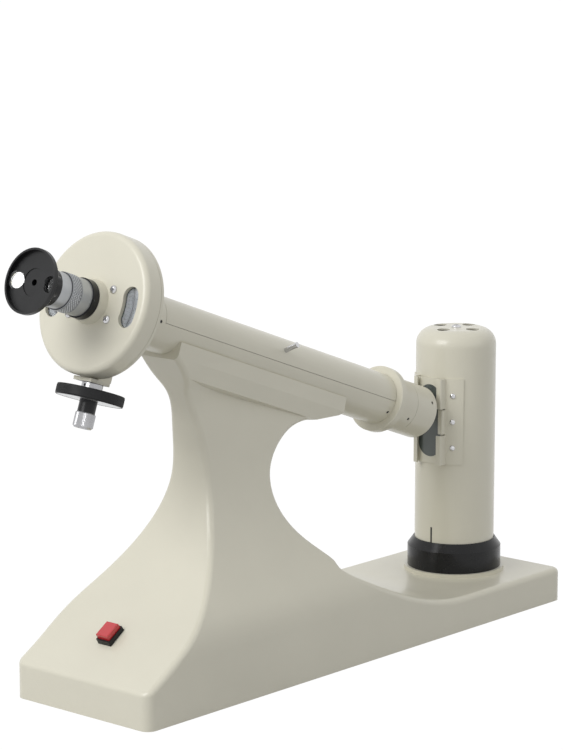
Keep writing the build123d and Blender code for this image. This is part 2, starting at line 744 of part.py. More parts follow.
def arc_slot(inner, outer, half_angle, start, end):
    """Kidney-shaped bar on the near side, concentric with the dial."""
    middle, half_width = (inner + outer) / 2, (outer - inner) / 2
    bar = ring(outer, inner, start, end)
    reach = outer + 5
    x, y = reach * sin(radians(half_angle)), reach * cos(radians(half_angle))
    wedge = Polyline((0, 0), (x, y), (0, reach * 1.2), (-x, y), close=True)
    bar = bar & (Pos(0, 0, min(start, end) - 1) * extrude(make_face(wedge), abs(end - start) + 2))
    for sign in (-1, 1):
        a = radians(half_angle * sign)
        bar = bar + Pos(middle * sin(a), middle * cos(a), 0) * disc(half_width, start, end)
    return bar


def both_sides(shape):
    """A shape and its half-turn copy about the tube's axis."""
    return shape + Rot(0, 0, 180) * shape


def housing_screw_places():
    """Four face screws around the eyepiece boss."""
    spread = FACE_SCREW_ANGLE
    angles = [radians(a) for a in (spread, -spread, 180 - spread, 180 + spread)]
    return [(FACE_SCREW_R * sin(a), FACE_SCREW_R * cos(a)) for a in angles]


def housing_cover():
    """Round front cover with the eyepiece boss and two reading windows."""
    cup = disc(HOUSING_R, 0, HOUSING_DEPTH)
    cup = fillet(cup.edges().group_by(Axis.Z)[0], HOUSING_EDGE_R)
    cup = cup - disc(HOUSING_R - HOUSING_WALL, HOUSING_WALL, HOUSING_DEPTH + 1)
    boss = turned((0, 1), (BOSS_R, 1), (BOSS_R, 0), (BOSS_TIP_R, -BOSS_DEPTH), (0, -BOSS_DEPTH))
    seat = ring(VERNIER_IN + 10, EYE_BORE_R, 1, DIAL_FACE - SEAT)
    cup = cup + boss + seat - disc(EYE_BORE_R + SEAT, -20, 20)
    slot = arc_slot(SLOT_IN, SLOT_OUT, SLOT_HALF_ANGLE, -1, HOUSING_WALL + 1)
    cup = cup - both_sides(slot)
    for x, y in housing_screw_places():
        cup = cup - Pos(x, y, 0) * disc(M3_R + SEAT, -1, DIAL_FACE + 1)
    return TUBE * cup


def housing_screws():
    """Four face screws with nuts of the vernier plate, and two screws of the bearing plate."""
    screw = Rot(180, 0, 0) * pan_screw(3.1, 2.3, M3_R, DIAL_FACE + DIAL_T - 0.2)
    face = [TUBE * (Pos(x, y, 0) * screw) for x, y in housing_screw_places()]
    below = disc(M25_R, -7, -OPEN_GAP)
    plate = [KNOB * (Pos(x, y, BEARING_BOTTOM) * below) for x, y in bearing_screw_places()]
    return Compound(children=face + plate)


def bearing_screw_places():
    """Two screws through the rear half of the bearing plate, along and across."""
    return [(5.5, -6.5), (5.5, 6.5)]


def window_masks():
    """Black frames behind the two windows."""
    front, back = HOUSING_WALL + SEAT, HOUSING_WALL + MASK_T
    outer = arc_slot(SLOT_IN - 1.0, SLOT_OUT + 1.5, SLOT_HALF_ANGLE + 1.5, front, back)
    inner = arc_slot(SLOT_IN + MASK_LIP, SLOT_OUT - MASK_LIP, SLOT_HALF_ANGLE, front - 1, back + 1)
    return TUBE * both_sides(outer - inner)


def window_panes():
    """Clear panes held in the window frames."""
    start = HOUSING_WALL + 0.3
    edge = MASK_LIP + SEAT
    pane = arc_slot(SLOT_IN + edge, SLOT_OUT - edge, SLOT_HALF_ANGLE, start, start + PANE_T)
    return TUBE * both_sides(pane)


def vernier_plate():
    """Fixed vernier disc inside the dial ring."""
    plate = ring(DIAL_SPLIT_R - OPEN_GAP / 2, VERNIER_IN, DIAL_FACE, DIAL_FACE + DIAL_T)
    for x, y in housing_screw_places():
        plate = plate - Pos(x, y, 0) * disc(M3_R + SEAT, 0, 10)
    return TUBE * plate


def housing_rear_plate():
    """Rear plate with the dial's bearing, the tube spigot and the pinion box."""
    plate = disc(HOUSING_R, REAR_PLATE, REAR_FACE)
    inside = HOUSING_R - HOUSING_WALL
    lip = ring(inside - SEAT, inside - 2, REAR_PLATE - 1.5, REAR_PLATE + 1)
    spigot = disc(TUBE_R - TUBE_WALL - SEAT, REAR_FACE - 0.5, HUB_END - 1.0)
    half = BEARING_WIDTH / 2 - 1
    box = block(-BEARING_TOP + SEAT, -PINION_BOX_TOP, -half, half, REAR_FACE - 1, KNOB_STATION + 10)
    plate = plate + lip + spigot + box - disc(HUB_R + RUN, 0, 60)
    near, far = CROWN_PITCH_R - FACE_WIDTH / 2 - 1, CROWN_PITCH_R + FACE_WIDTH / 2 + 1
    plate = TUBE * (plate - ring(far, near, 0, REAR_PLATE + 1))
    plate = plate - KNOB * disc(PINION_PITCH_R + TOOTH_ADD + 2 * OPEN_GAP, near, far)
    plate = plate - KNOB * disc(SHAFT_R + RUN, PINION_BOX_TOP - 8, BEARING_TOP + 5)
    for x, y in bearing_screw_places():
        plate = plate - KNOB * (Pos(x, y, 0) * disc(M25_R + SEAT, BEARING_TOP - 5, BEARING_TOP + 5))
    return plate


def bearing_plate():
    """Flat plate under the housing that carries the handwheel shaft."""
    back, half = BEARING_FRONT + BEARING_LENGTH, BEARING_WIDTH / 2
    plate = block(BEARING_FRONT, back, -half, half, BEARING_TOP, BEARING_BOTTOM)
    plate = plate - disc(SHAFT_R + RUN, 0, 100)
    for x, y in bearing_screw_places():
        plate = plate - Pos(x, y, 0) * disc(M25_R + SEAT, 0, 100)
    return KNOB * plate


# Dial and its drive


def dial_disc():
    """Graduated ring on a web, carried by the hub."""
    face = ring(DIAL_R, DIAL_SPLIT_R + OPEN_GAP / 2, DIAL_FACE, DIAL_FACE + 3.2)
    web = ring(DIAL_R, HUB_R + SEAT, DIAL_FACE + DIAL_T + 0.8, DIAL_FACE + 3.2)
    return TUBE * (face + web)


def crown_tooth():
    """One tooth of the crown wheel, at the top of the wheel."""
    pitch = 2 * pi * CROWN_PITCH_R / CROWN_TEETH
    root, tip = 0.3 * pitch, 0.12 * pitch
    r0, r1 = CROWN_PITCH_R - FACE_WIDTH / 2, CROWN_PITCH_R + FACE_WIDTH / 2
    base, crest = CROWN_PLANE - TOOTH_DED, CROWN_PLANE + TOOTH_ADD
    low = base - 0.5
    outline = Polyline((0, -root, low), (0, root, low), (0, tip, crest), (0, -tip, crest), close=True)
    return Pos(r0, 0, 0) * extrude(make_face(outline), r1 - r0, dir=(1, 0, 0))


def dial_gear():
    """Crown wheel behind the dial, teeth facing the lamp end."""
    r0, r1 = CROWN_PITCH_R - FACE_WIDTH / 2, CROWN_PITCH_R + FACE_WIDTH / 2
    start, base = DIAL_FACE + 3.2 + SEAT, CROWN_PLANE - TOOTH_DED
    wheel = ring(r1, HUB_R + SEAT, start, start + 2.4) + ring(r1, r0, start, base)
    tooth = crown_tooth()
    step = 360 / CROWN_TEETH
    teeth = [Rot(0, 0, 180 + step * (i + 0.5)) * tooth for i in range(CROWN_TEETH)]
    return TUBE * (wheel + teeth)


def dial_hub():
    """Hollow shaft that turns the dial and the analyser together."""
    hub = ring(HUB_R - SEAT / 2, HUB_BORE_R, DIAL_FACE + 2.2, HUB_END)
    groove = ring(HUB_R + 1, HUB_R - 1.2, HUB_END - 0.9, HUB_END - 0.1)
    seat = ring(HUB_BORE_R + 0.5, HUB_BORE_R - 2, 12, 13.5)
    return TUBE * (hub - groove + seat)


def hub_clip():
    """Retaining ring behind the bearing."""
    clip = ring(HUB_R + 2.2, HUB_R - 1.2 + SEAT, HUB_END - 0.85, HUB_END - 0.15)
    return TUBE * (clip - block(0, 30, -3, 3, HUB_END - 2, HUB_END + 1))


def analyser():
    """Polarising disc that turns with the dial."""
    return TUBE * disc(HUB_BORE_R - SEAT, 13.55, 13.55 + ANALYSER_T)


def pinion_shaft():
    """Handwheel shaft with its pinion cut on the inner end."""
    r0, r1 = CROWN_PITCH_R - FACE_WIDTH / 2, CROWN_PITCH_R + FACE_WIDTH / 2
    root = PINION_PITCH_R - TOOTH_DED
    pitch = 2 * pi * PINION_PITCH_R / PINION_TEETH
    foot, tip = 0.22 * pitch, 0.07 * pitch
    crest = PINION_PITCH_R + TOOTH_ADD
    flank = [(root - 0.5, -foot), (root + 0.6, -foot), (crest, -tip)]
    outline = Polyline(*flank, *[(x, -y) for x, y in reversed(flank)], close=True)
    tooth = Pos(0, 0, r0) * extrude(make_face(outline), r1 - r0)
    step = 360 / PINION_TEETH
    teeth = [Rot(0, 0, 180 + step * i) * tooth for i in range(PINION_TEETH)]
    return KNOB * (disc(root, r0, r1) + disc(SHAFT_R, r1, KNOB_END - 2) + teeth)


def shaft_collar():
    """Bright clamp collar between the bearing and the wheel."""
    collar = ring(COLLAR_R, SHAFT_R + SEAT, BEARING_BOTTOM + OPEN_GAP, WHEEL_TOP - SEAT)
    hole = Pos(-COLLAR_R, 0, (BEARING_BOTTOM + WHEEL_TOP) / 2) * Rot(0, 90, 0) * Cylinder(1.1, 6)
    return KNOB * (collar - hole)


def handwheel():
    """Black rim and top of the coarse handwheel."""
    cup = disc(WHEEL_R, WHEEL_TOP, WHEEL_TOP + WHEEL_T)
    cup = chamfer(cup.edges().filter_by(GeomType.CIRCLE), WHEEL_BEVEL)
    cup = cup - disc(WHEEL_R - WHEEL_RIM, WHEEL_TOP + WHEEL_TOP_T, WHEEL_TOP + WHEEL_T + 1)
    return KNOB * (cup - disc(SHAFT_R + SEAT, 0, 100))


def handwheel_disc():
    """Turned metal disc set into the wheel's underside."""
    start, end = WHEEL_TOP + WHEEL_TOP_T + SEAT, WHEEL_TOP + WHEEL_T - 0.15
    return KNOB * ring(WHEEL_R - WHEEL_RIM - SEAT, SHAFT_R + SEAT, start, end)


def knob_neck():
    """Black neck of the fine knob."""
    return KNOB * ring(NECK_R, SHAFT_R + SEAT, WHEEL_TOP + WHEEL_T - 0.1, NECK_END)


def fine_knob():
    """Bright knob at the end of the shaft."""
    knob = disc(KNOB_R, NECK_END + SEAT, KNOB_END)
    knob = chamfer(knob.edges().group_by(Axis.Z)[-1], KNOB_BEVEL)
    knob = chamfer(knob.edges().group_by(Axis.Z)[0], KNOB_EDGE)
    return KNOB * (knob - disc(SHAFT_R + SEAT, 0, KNOB_END - 2 + SEAT))


# Eyepiece


def eyepiece_collar():
    """Black clamp collar with its spigot in the cover's boss."""
    body = turned(
        (9.5, -EYE_COLLAR_END), (EYE_COLLAR_R, -EYE_COLLAR_END), (EYE_COLLAR_R, -BOSS_DEPTH - SEAT),
        (EYE_BORE_R, -BOSS_DEPTH - SEAT), (EYE_BORE_R, 2.5), (9.5, 2.5),
    )
    return TUBE * body


def objective_lens():
    """Small telescope objective inside the collar."""
    return TUBE * lens(9.5 - SEAT, 2.4, -0.5, 1.2)


def eyepiece_barrel():
    """Fixed barrel; its thin sleeve carries the focusing ring."""
    bore = DRAW_TUBE_R + RUN
    body = turned(
        (bore, -28.5), (11.3, -28.5), (11.3, -BARREL_END), (BARREL_R, -BARREL_END),
        (BARREL_R, -EYE_COLLAR_END - SEAT), (9.5 - SEAT, -EYE_COLLAR_END - SEAT), (9.5 - SEAT, -8),
        (8.0, -8), (8.0, -EYE_COLLAR_END), (bore, -EYE_COLLAR_END),
    )
    return TUBE * body


def focus_ring():
    """Knurled ring turned to focus."""
    body = turned(
        (11.3 + RUN, -BARREL_END - 0.1), (FOCUS_R, -BARREL_END - 0.1), (FOCUS_R, -FOCUS_END),
        (DRAW_R + RUN, -FOCUS_END), (DRAW_R + RUN, -28.3), (11.3 + RUN, -28.3),
    )
    return TUBE * body


def draw_tube():
    """Sliding tube that carries the eye lens and the dish."""
    hidden = FOCUS_END - FOCUS_TRAVEL - 0.1
    body = turned(
        (8.6, -16.5), (DRAW_TUBE_R, -16.5), (DRAW_TUBE_R, -hidden), (DRAW_R, -hidden),
        (DRAW_R, -DRAW_END), (11.0, -DRAW_END), (11.0, -DISH_FLOOR + 6), (8.6, -DISH_FLOOR + 6),
    )
    return TUBE * body


def eye_lens():
    """Eye lens behind the small hole."""
    return TUBE * lens(8.6 - SEAT, -DISH_FLOOR + 6, -DISH_FLOOR + 9, 1.5)


def magnifier_dish():
    """Black eye dish with two slanted seats for the reading lenses."""
    body = turned(
        (11.0 + SEAT, -DRAW_END - SEAT), (DISH_HUB_R, -DRAW_END - SEAT), (DISH_HUB_R, -50.0),
        (DISH_R, -61.6), (DISH_R, -DISH_END), (DISH_R - DISH_RIM_T, -DISH_END),
        (DISH_R - DISH_RIM_T, -DISH_FLOOR - 0.6), (DISH_DISC_R, -DISH_FLOOR),
        (DISH_DISC_R, -DISH_FLOOR + 0.6),
        (EYE_HOLE_R, -DISH_FLOOR + 0.6), (EYE_HOLE_R, -DISH_FLOOR + 5.9), (11.0 + SEAT, -DISH_FLOOR + 5.9),
    )
    for side in (-1, 1):
        body = body - reading_axis(side) * disc(LENS_R + SEAT, -30, 14)
        seat = reading_axis(side) * ring(LENS_R + 1.4, LENS_R + SEAT, 0.4, 5.5)
        body = body + (seat - disc(11.0 + SEAT, -80, -40))
    return TUBE * body


def reading_angle():
    """Slant of a reading lens that looks at the middle of its window."""
    middle = (SLOT_IN + SLOT_OUT) / 2
    return degrees(atan2(middle - LENS_OFFSET, DISH_FLOOR + DIAL_FACE))


def reading_axis(side):
    """Frame of one reading lens, z pointing at its window."""
    return Pos(0, side * LENS_OFFSET, -DISH_FLOOR) * Rot(-side * reading_angle(), 0, 0)


def magnifier_lenses():
    """Two reading lenses, one for each window."""
    glass = lens(LENS_R - SEAT, 1.0, 1.0 + LENS_T, 1.2)
    return TUBE * Compound(children=[reading_axis(side) * glass for side in (-1, 1)])


# Lamp


def lamp_seat():
    """Black ring that the lamp house stands in."""
    body = turned(
        (26.0, SEAT_BOTTOM + SEAT), (SEAT_R, SEAT_BOTTOM + SEAT), (SEAT_R, SEAT_SHOULDER),
        (LAMP_HOUSE_R + 1.0, SEAT_TOP), (LAMP_HOUSE_R + OPEN_GAP, SEAT_TOP),
        (LAMP_HOUSE_R + OPEN_GAP, LAMP_HOUSE_BOTTOM - OPEN_GAP), (26.0, LAMP_HOUSE_BOTTOM - OPEN_GAP),
    )
    return LAMP * body


def lamp_socket():
    """Moulded lamp holder on the slab."""
    body = disc(20, SEAT_BOTTOM + SEAT, SEAT_BOTTOM + 4) + disc(LAMP_R + 3, SEAT_BOTTOM + 2, SEAT_BOTTOM + 26)
    return LAMP * (body - disc(LAMP_R + SEAT, SEAT_BOTTOM + 8, SEAT_BOTTOM + 40))


def lamp_cap():
    """Metal base of the lamp, plugged into the holder."""
    return LAMP * disc(LAMP_R, SEAT_BOTTOM + 8.1, SEAT_BOTTOM + 36)


def sodium_lamp():
    """Sealed glass envelope of the lamp."""
    start = SEAT_BOTTOM + 36.1
    bulb = disc(LAMP_R - 0.5, start, LAMP_TOP)
    bulb = fillet(bulb.edges().group_by(Axis.Z)[-1], LAMP_R - 2)
    return LAMP * bulb


def lamp_house():
    """Round lamp house with a domed top, four vents and the light window."""
    can = disc(LAMP_HOUSE_R, LAMP_HOUSE_BOTTOM, LAMP_HOUSE_TOP)
    can = fillet(can.edges().group_by(Axis.Z)[-1], DOME_R)
    hollow = disc(LAMP_HOUSE_R - LAMP_HOUSE_WALL, LAMP_HOUSE_BOTTOM - 1, LAMP_HOUSE_TOP - LAMP_HOUSE_WALL)
    hollow = fillet(hollow.edges().group_by(Axis.Z)[-1], DOME_R - LAMP_HOUSE_WALL)
    can = can - hollow - disc(M3_R + SEAT, LAMP_HOUSE_TOP - 5, LAMP_HOUSE_TOP + 5)
    for i in range(4):
        a = radians(90 * i)
        can = can - Pos(VENT_RING_R * cos(a), VENT_RING_R * sin(a), LAMP_HOUSE_TOP) * Cylinder(VENT_R, 10)
    middle = (GUIDE_LOW + GUIDE_HIGH) / 2
    half_w, half_h = SLIDE_SLOT_W / 2 + 0.5, SLIDE_SLOT_H / 2 + 1
    can = can - block(-60, 0, -half_w, half_w, middle - half_h, middle + half_h)
    for angle, z in guide_screw_places():
        can = can - house_skin(angle, z) * disc(M25_R + SEAT, -3, 1)
    return LAMP * can


def heat_baffle():
    """Dished sheet hung under the vents on a post."""
    top = LAMP_HOUSE_TOP - LAMP_HOUSE_WALL - SEAT
    dish = turned((0, BAFFLE_Z), (10, BAFFLE_Z), (BAFFLE_R, BAFFLE_Z - 4), (BAFFLE_R, BAFFLE_Z - 3),
                  (10, BAFFLE_Z + 1), (4, BAFFLE_Z + 1), (4, top), (0, top))
    return LAMP * (dish - disc(M3_R + SEAT, top - 9, top + 1))


def house_skin(angle, z):
    """Frame on the lamp house skin, angle from -X, z pointing out."""
    a = radians(180 + angle)
    out = Vector(cos(a), sin(a), 0)
    return Plane(origin=out * (LAMP_HOUSE_R + GUIDE_T) + Vector(0, 0, z), x_dir=(0, 0, 1), z_dir=out)


def guide_screw_places():
    """Three screws down each guide flange."""
    middle = (GUIDE_LOW + GUIDE_HIGH) / 2
    rows = [middle - GUIDE_SCREW_PITCH, middle, middle + GUIDE_SCREW_PITCH]
    return [(side * GUIDE_SCREW_ANGLE, z) for side in (-1, 1) for z in rows]


def slide_guide(side):
    """Bent-sheet guide: flange round the house, wall and lip, with a spring tab pressed in."""
    r0, r1 = LAMP_HOUSE_R + SEAT, LAMP_HOUSE_R + GUIDE_T
    flange = ring(r1, r0, GUIDE_LOW, GUIDE_HIGH)
    a0, a1 = radians(180 + 24), radians(180 + FLANGE_ANGLE)
    reach = 60
    rim = [(reach * cos(a), reach * sin(a)) for a in (a0, a1)]
    wedge = Polyline((0, 0), *rim, close=True)
    flange = flange & (Pos(0, 0, GUIDE_LOW - 1) * extrude(make_face(wedge), GUIDE_HIGH - GUIDE_LOW + 2))
    middle = (GUIDE_LOW + GUIDE_HIGH) / 2
    low, high = middle - TAB_HALF, middle + TAB_HALF
    channel = guide_channel(LIP_PLANE, GUIDE_LOW, GUIDE_HIGH)
    channel = channel - block(-LIP_PLANE - 1, -SLIT_END, -GUIDE_HALF - 1, 0, low - TAB_SLIT, high + TAB_SLIT)
    guide = flange + channel + guide_channel(SLIDE_FACE + OPEN_GAP + GUIDE_T, low, high)
    guide = guide - disc(r0, GUIDE_LOW - 1, GUIDE_HIGH + 1)
    for angle, z in guide_screw_places():
        guide = guide - house_skin(angle, z) * disc(M25_R + SEAT, -3, 1)
    return guide if side < 0 else mirror(guide, about=Plane.XZ)


def guide_channel(plane, low, high):
    """Wall and lip of a guide with its rounded bend, lip at the given distance from the lamp."""
    inside = -sqrt(LAMP_HOUSE_R * LAMP_HOUSE_R - GUIDE_HALF * GUIDE_HALF) + 1.0
    wall = block(-plane, inside, -GUIDE_HALF, -GUIDE_HALF + GUIDE_T, low, high)
    lip = block(-plane, -plane + GUIDE_T, -GUIDE_HALF, -LIP_HALF_GAP, low, high)
    bend = (wall + lip).edges().filter_by(Axis.Z).sort_by(lambda e: e.center().X + e.center().Y)[0]
    return fillet(bend, BEND_R)


def slide_guides():
    """The near and far guides."""
    return LAMP * Compound(children=[slide_guide(-1), slide_guide(1)])


def lamp_house_screws():
    """Six guide screws and the screw of the dome."""
    screw = pan_screw(2.3, 1.5, M25_R, 3.4)
    pieces = [house_skin(angle, z) * screw for angle, z in guide_screw_places()]
    pieces.append(Pos(0, 0, LAMP_HOUSE_TOP) * pan_screw(4.0, 2.2, M3_R, 9))
    return LAMP * Compound(children=pieces)


def slide_oval(shrink):
    """Oval of the slide's window, drawn on the slide's front face."""
    across = Plane(origin=(-SLIDE_FACE, 0, (GUIDE_LOW + GUIDE_HIGH) / 2), x_dir=(0, 1, 0), z_dir=(1, 0, 0))
    return across * SlotOverall(SLIDE_SLOT_H - 2 * shrink, SLIDE_SLOT_W - 2 * shrink, rotation=90)


def filter_slide():
    """Plate with an oval window that slides up between the guides."""
    half = GUIDE_HALF - GUIDE_T - OPEN_GAP
    plate = block(-SLIDE_FACE, SLIDE_T - SLIDE_FACE, -half, half, GUIDE_LOW, GUIDE_HIGH - 0.5)
    return LAMP * (plate - extrude(slide_oval(0), 5, both=True))


def filter_glass():
    """Grey glass in the slide's oval window."""
    return LAMP * (Pos(SEAT, 0, 0) * extrude(slide_oval(SEAT), SLIDE_T - 2 * SEAT))


PIECES = {
    "base_casting": base_casting,
    "base_plate": base_plate,
    "base_plate_screws": base_plate_screws,
    "rubber_feet": rubber_feet,
    "ballast_choke": choke,
    "power_inlet": power_inlet,
    "inlet_pins": inlet_pins,
    "switch_bezel": switch_bezel,
    "switch_button": switch_button,
    "tube_body": tube_body,
    "tube_cover": tube_cover,
    "cover_handle": cover_handle,
    "hinge_pins": hinge_pins,
    "tube_screws": tube_screws,
    "end_ring": end_ring,
    "half_shade_mount": half_shade_mount,
    "half_shade_plate": half_shade_plate,
    "polariser_mount": polariser_mount,
    "polariser": polariser,
    "condenser_lens": condenser_lens,
    "housing_cover": housing_cover,
    "housing_rear_plate": housing_rear_plate,
    "housing_screws": housing_screws,
    "window_masks": window_masks,
    "window_panes": window_panes,
    "vernier_plate": vernier_plate,
    "dial_disc": dial_disc,
    "dial_gear": dial_gear,
    "dial_hub": dial_hub,
    "hub_clip": hub_clip,
    "analyser": analyser,
    "bearing_plate": bearing_plate,
    "pinion_shaft": pinion_shaft,
    "shaft_collar": shaft_collar,
    "handwheel": handwheel,
    "handwheel_disc": handwheel_disc,
    "knob_neck": knob_neck,
    "fine_knob": fine_knob,
    "eyepiece_collar": eyepiece_collar,
    "objective_lens": objective_lens,
    "eyepiece_barrel": eyepiece_barrel,
    "focus_ring": focus_ring,
    "draw_tube": draw_tube,
    "eye_lens": eye_lens,
    "magnifier_dish": magnifier_dish,
    "magnifier_lenses": magnifier_lenses,
    "lamp_seat": lamp_seat,
    "lamp_socket": lamp_socket,
    "lamp_cap": lamp_cap,
    "sodium_lamp": sodium_lamp,
    "lamp_house": lamp_house,
    "heat_baffle": heat_baffle,
    "slide_guides": slide_guides,
    "lamp_house_screws": lamp_house_screws,
    "filter_slide": filter_slide,
    "filter_glass": filter_glass,
}

os.makedirs("parts", exist_ok=True)
for node, make in PIECES.items():
    export(make(), node)
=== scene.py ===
"""Looks of a bench disc polarimeter: ivory enamel, black eye dish, chrome fittings, satin eyepiece.

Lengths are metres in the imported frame. Pieces of the sloping tube are modelled in the tube's own
frame (x up and across the axis, y towards the near side, z along the axis from the dial's front
face), those of the handwheel in the knob's frame (z down the shaft), and are then set in place.
"""
import json
from math import asin, cos, pi, radians, sin, sqrt

import bpy
from mathutils import Matrix, Vector


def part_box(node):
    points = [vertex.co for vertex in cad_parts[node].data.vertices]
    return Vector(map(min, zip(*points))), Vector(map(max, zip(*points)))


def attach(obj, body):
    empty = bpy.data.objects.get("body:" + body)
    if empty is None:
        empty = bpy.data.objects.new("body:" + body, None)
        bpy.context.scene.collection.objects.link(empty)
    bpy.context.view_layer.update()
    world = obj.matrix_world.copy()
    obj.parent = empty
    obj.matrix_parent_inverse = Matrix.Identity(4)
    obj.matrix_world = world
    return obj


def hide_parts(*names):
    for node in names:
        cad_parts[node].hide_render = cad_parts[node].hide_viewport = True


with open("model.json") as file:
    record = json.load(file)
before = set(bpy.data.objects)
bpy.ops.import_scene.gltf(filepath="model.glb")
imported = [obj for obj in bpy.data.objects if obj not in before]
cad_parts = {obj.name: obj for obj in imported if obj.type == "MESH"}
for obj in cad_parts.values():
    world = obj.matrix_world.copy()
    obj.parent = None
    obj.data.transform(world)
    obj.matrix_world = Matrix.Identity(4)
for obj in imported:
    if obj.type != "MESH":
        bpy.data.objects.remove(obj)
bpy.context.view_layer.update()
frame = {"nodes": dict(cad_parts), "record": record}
NODES = frame["nodes"]
MM = 0.001

bl_info = {
    "name": "Bench polarimeter",
    "version": (1, 0, 0),
    "blender": (4, 5, 0),
    "location": "View3D > Sidebar > Polarimeter",
    "description": "Finishes, small fittings, scales and studio for a bench polarimeter",
    "category": "Object",
}

# Angles on the lamp house in degrees, from the side that faces the tube
INDEX_ANGLE = 3.0
GUIDE_SCREW_ANGLE = 34.0

# Heights and radii on the dial, in the tube's frame
SCALE_FACE = 4.5 * MM
SPLIT_R = 37.9 * MM
MARK_DEPTH = 0.02 * MM
MARK_GAP = 0.25 * MM
# Width of the painted shade line along the gap between the fixed plate and the dial
SPLIT_SHADE_WIDTH = 0.3 * MM

# Emission that the camera sees as plain white
WHITE_LEVEL = 1.05
FLOOR_GREY = (0.42, 0.42, 0.42)

JOINTS = {joint["name"]: joint for joint in frame["record"]["behaviour"]["joints"]}
TILT = radians(20)
DIAL_AT = Vector(JOINTS["dial_turn"]["pos_m"])
KNOB_AT = Vector(JOINTS["handwheel_turn"]["pos_m"])
ALONG = Vector((cos(TILT), 0, -sin(TILT)))
ACROSS = Vector((sin(TILT), 0, cos(TILT)))
NEAR = Vector((0, -1, 0))


def frame_matrix(origin, x_axis, y_axis, z_axis):
    """Matrix that sets a local frame in the world."""
    turn = Matrix((x_axis, y_axis, z_axis)).transposed()
    return Matrix.Translation(origin) @ turn.to_4x4()


TUBE = frame_matrix(DIAL_AT, ACROSS, NEAR, ALONG)
KNOB = frame_matrix(KNOB_AT, ALONG, NEAR, -ACROSS)
house_low, house_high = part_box("lamp_house")
LAMP = Matrix.Translation(((house_low[0] + house_high[0]) / 2, 0, 0))


class StudioSizes(bpy.types.PropertyGroup):
    """Camera and lights."""

    target: bpy.props.FloatVectorProperty(
        name="Target", description="Point the camera looks at", size=3,
        default=(-0.00259, 0.0, 0.22432), subtype="TRANSLATION", unit="LENGTH")
    distance: bpy.props.FloatProperty(
        name="Distance", description="Camera distance from its target", default=2.28407, unit="LENGTH")
    azimuth: bpy.props.FloatProperty(
        name="Azimuth", description="Side the camera stands on", default=radians(-48.62), unit="ROTATION")
    elevation: bpy.props.FloatProperty(
        name="Elevation", description="Height angle of the camera", default=radians(10.47), unit="ROTATION")
    lens: bpy.props.FloatProperty(
        name="Lens", description="Focal length over the frame's height of 36 mm", default=140.48)
    key: bpy.props.FloatProperty(name="Key", description="Power of the key softbox in watts", default=33.0)
    fill: bpy.props.FloatProperty(name="Fill", description="Power of the fill softbox in watts", default=2.6)
    sky: bpy.props.FloatProperty(
        name="Sky", description="Strength of the studio's white surround", default=0.59)


class FinishColours(bpy.types.PropertyGroup):
    """Colours that a user would change."""

    enamel: bpy.props.FloatVectorProperty(
        name="Enamel", description="Ivory stove enamel", size=3, subtype="COLOR",
        default=(0.68, 0.655, 0.545))
    black: bpy.props.FloatVectorProperty(
        name="Black", description="Black paint of dish, collar and seat ring", size=3, subtype="COLOR",
        default=(0.0075, 0.0078, 0.0085))
    cap: bpy.props.FloatVectorProperty(
        name="Switch cap", description="Red cap of the lamp switch", size=3, subtype="COLOR",
        default=(0.52, 0.022, 0.03))


class FittingSizes(bpy.types.PropertyGroup):
    """Sizes of the small fittings."""

    knurl_pitch: bpy.props.FloatProperty(
        name="Knurl pitch", description="Pitch of the diamond knurl on the focusing ring",
        default=2.4 * MM, unit="LENGTH")
    knurl_depth: bpy.props.FloatProperty(
        name="Knurl depth", description="Depth of the diamond knurl", default=0.44 * MM, unit="LENGTH")
    mark_width: bpy.props.FloatProperty(
        name="Mark width", description="Width of a graduation", default=0.17 * MM, unit="LENGTH")


def settings(group):
    """The scene's property group of that name."""
    return getattr(bpy.context.scene, "polarimeter_" + group)


# Finishes


def start_material(name):
    """New node material with its shader and output."""
    material = bpy.data.materials.new(name)
    material.use_nodes = True
    tree = material.node_tree
    return material, tree, tree.nodes["Principled BSDF"]


def object_coordinates(tree, place=None, scale=(1, 1, 1)):
    """Object coordinates, seen from a local frame if one is given."""
    source = tree.nodes.new("ShaderNodeTexCoord").outputs["Object"]
    mapping = tree.nodes.new("ShaderNodeMapping")
    if place is not None:
        mapping.vector_type = "TEXTURE"
        mapping.inputs["Location"].default_value = place.to_translation()
        mapping.inputs["Rotation"].default_value = place.to_euler()
        tree.links.new(source, mapping.inputs["Vector"])
        source = mapping.outputs["Vector"]
        mapping = tree.nodes.new("ShaderNodeMapping")
    mapping.inputs["Scale"].default_value = scale
    tree.links.new(source, mapping.inputs["Vector"])
    return mapping.outputs["Vector"]


def noise(tree, vector, scale, detail=3.0, roughness=0.5):
    """Noise over the object, scale in features per metre."""
    node = tree.nodes.new("ShaderNodeTexNoise")
    node.inputs["Scale"].default_value = scale
    node.inputs["Detail"].default_value = detail
    node.inputs["Roughness"].default_value = roughness
    tree.links.new(vector, node.inputs["Vector"])
    return node.outputs["Fac"]


def spread(tree, value, low, high, from_low=0.3, from_high=0.7):
    """Value stretched over a range."""
    node = tree.nodes.new("ShaderNodeMapRange")
    node.inputs["From Min"].default_value = from_low
    node.inputs["From Max"].default_value = from_high
    node.inputs["To Min"].default_value = low
    node.inputs["To Max"].default_value = high
    tree.links.new(value, node.inputs["Value"])
    return node.outputs["Result"]


def blend_colours(tree, value, first, second):
    """Colour between two by a value."""
    node = tree.nodes.new("ShaderNodeMix")
    node.data_type = "RGBA"
    node.inputs["A"].default_value = (*first, 1)
    node.inputs["B"].default_value = (*second, 1)
    tree.links.new(value, node.inputs["Factor"])
    return node.outputs["Result"]


def add_bump(tree, shader, height, strength, distance):
    """Small relief on the surface, after any relief that is already there."""
    node = tree.nodes.new("ShaderNodeBump")
    node.inputs["Strength"].default_value = strength
    node.inputs["Distance"].default_value = distance
    tree.links.new(height, node.inputs["Height"])
    if shader.inputs["Normal"].is_linked:
        tree.links.new(shader.inputs["Normal"].links[0].from_socket, node.inputs["Normal"])
    tree.links.new(node.outputs["Normal"], shader.inputs["Normal"])


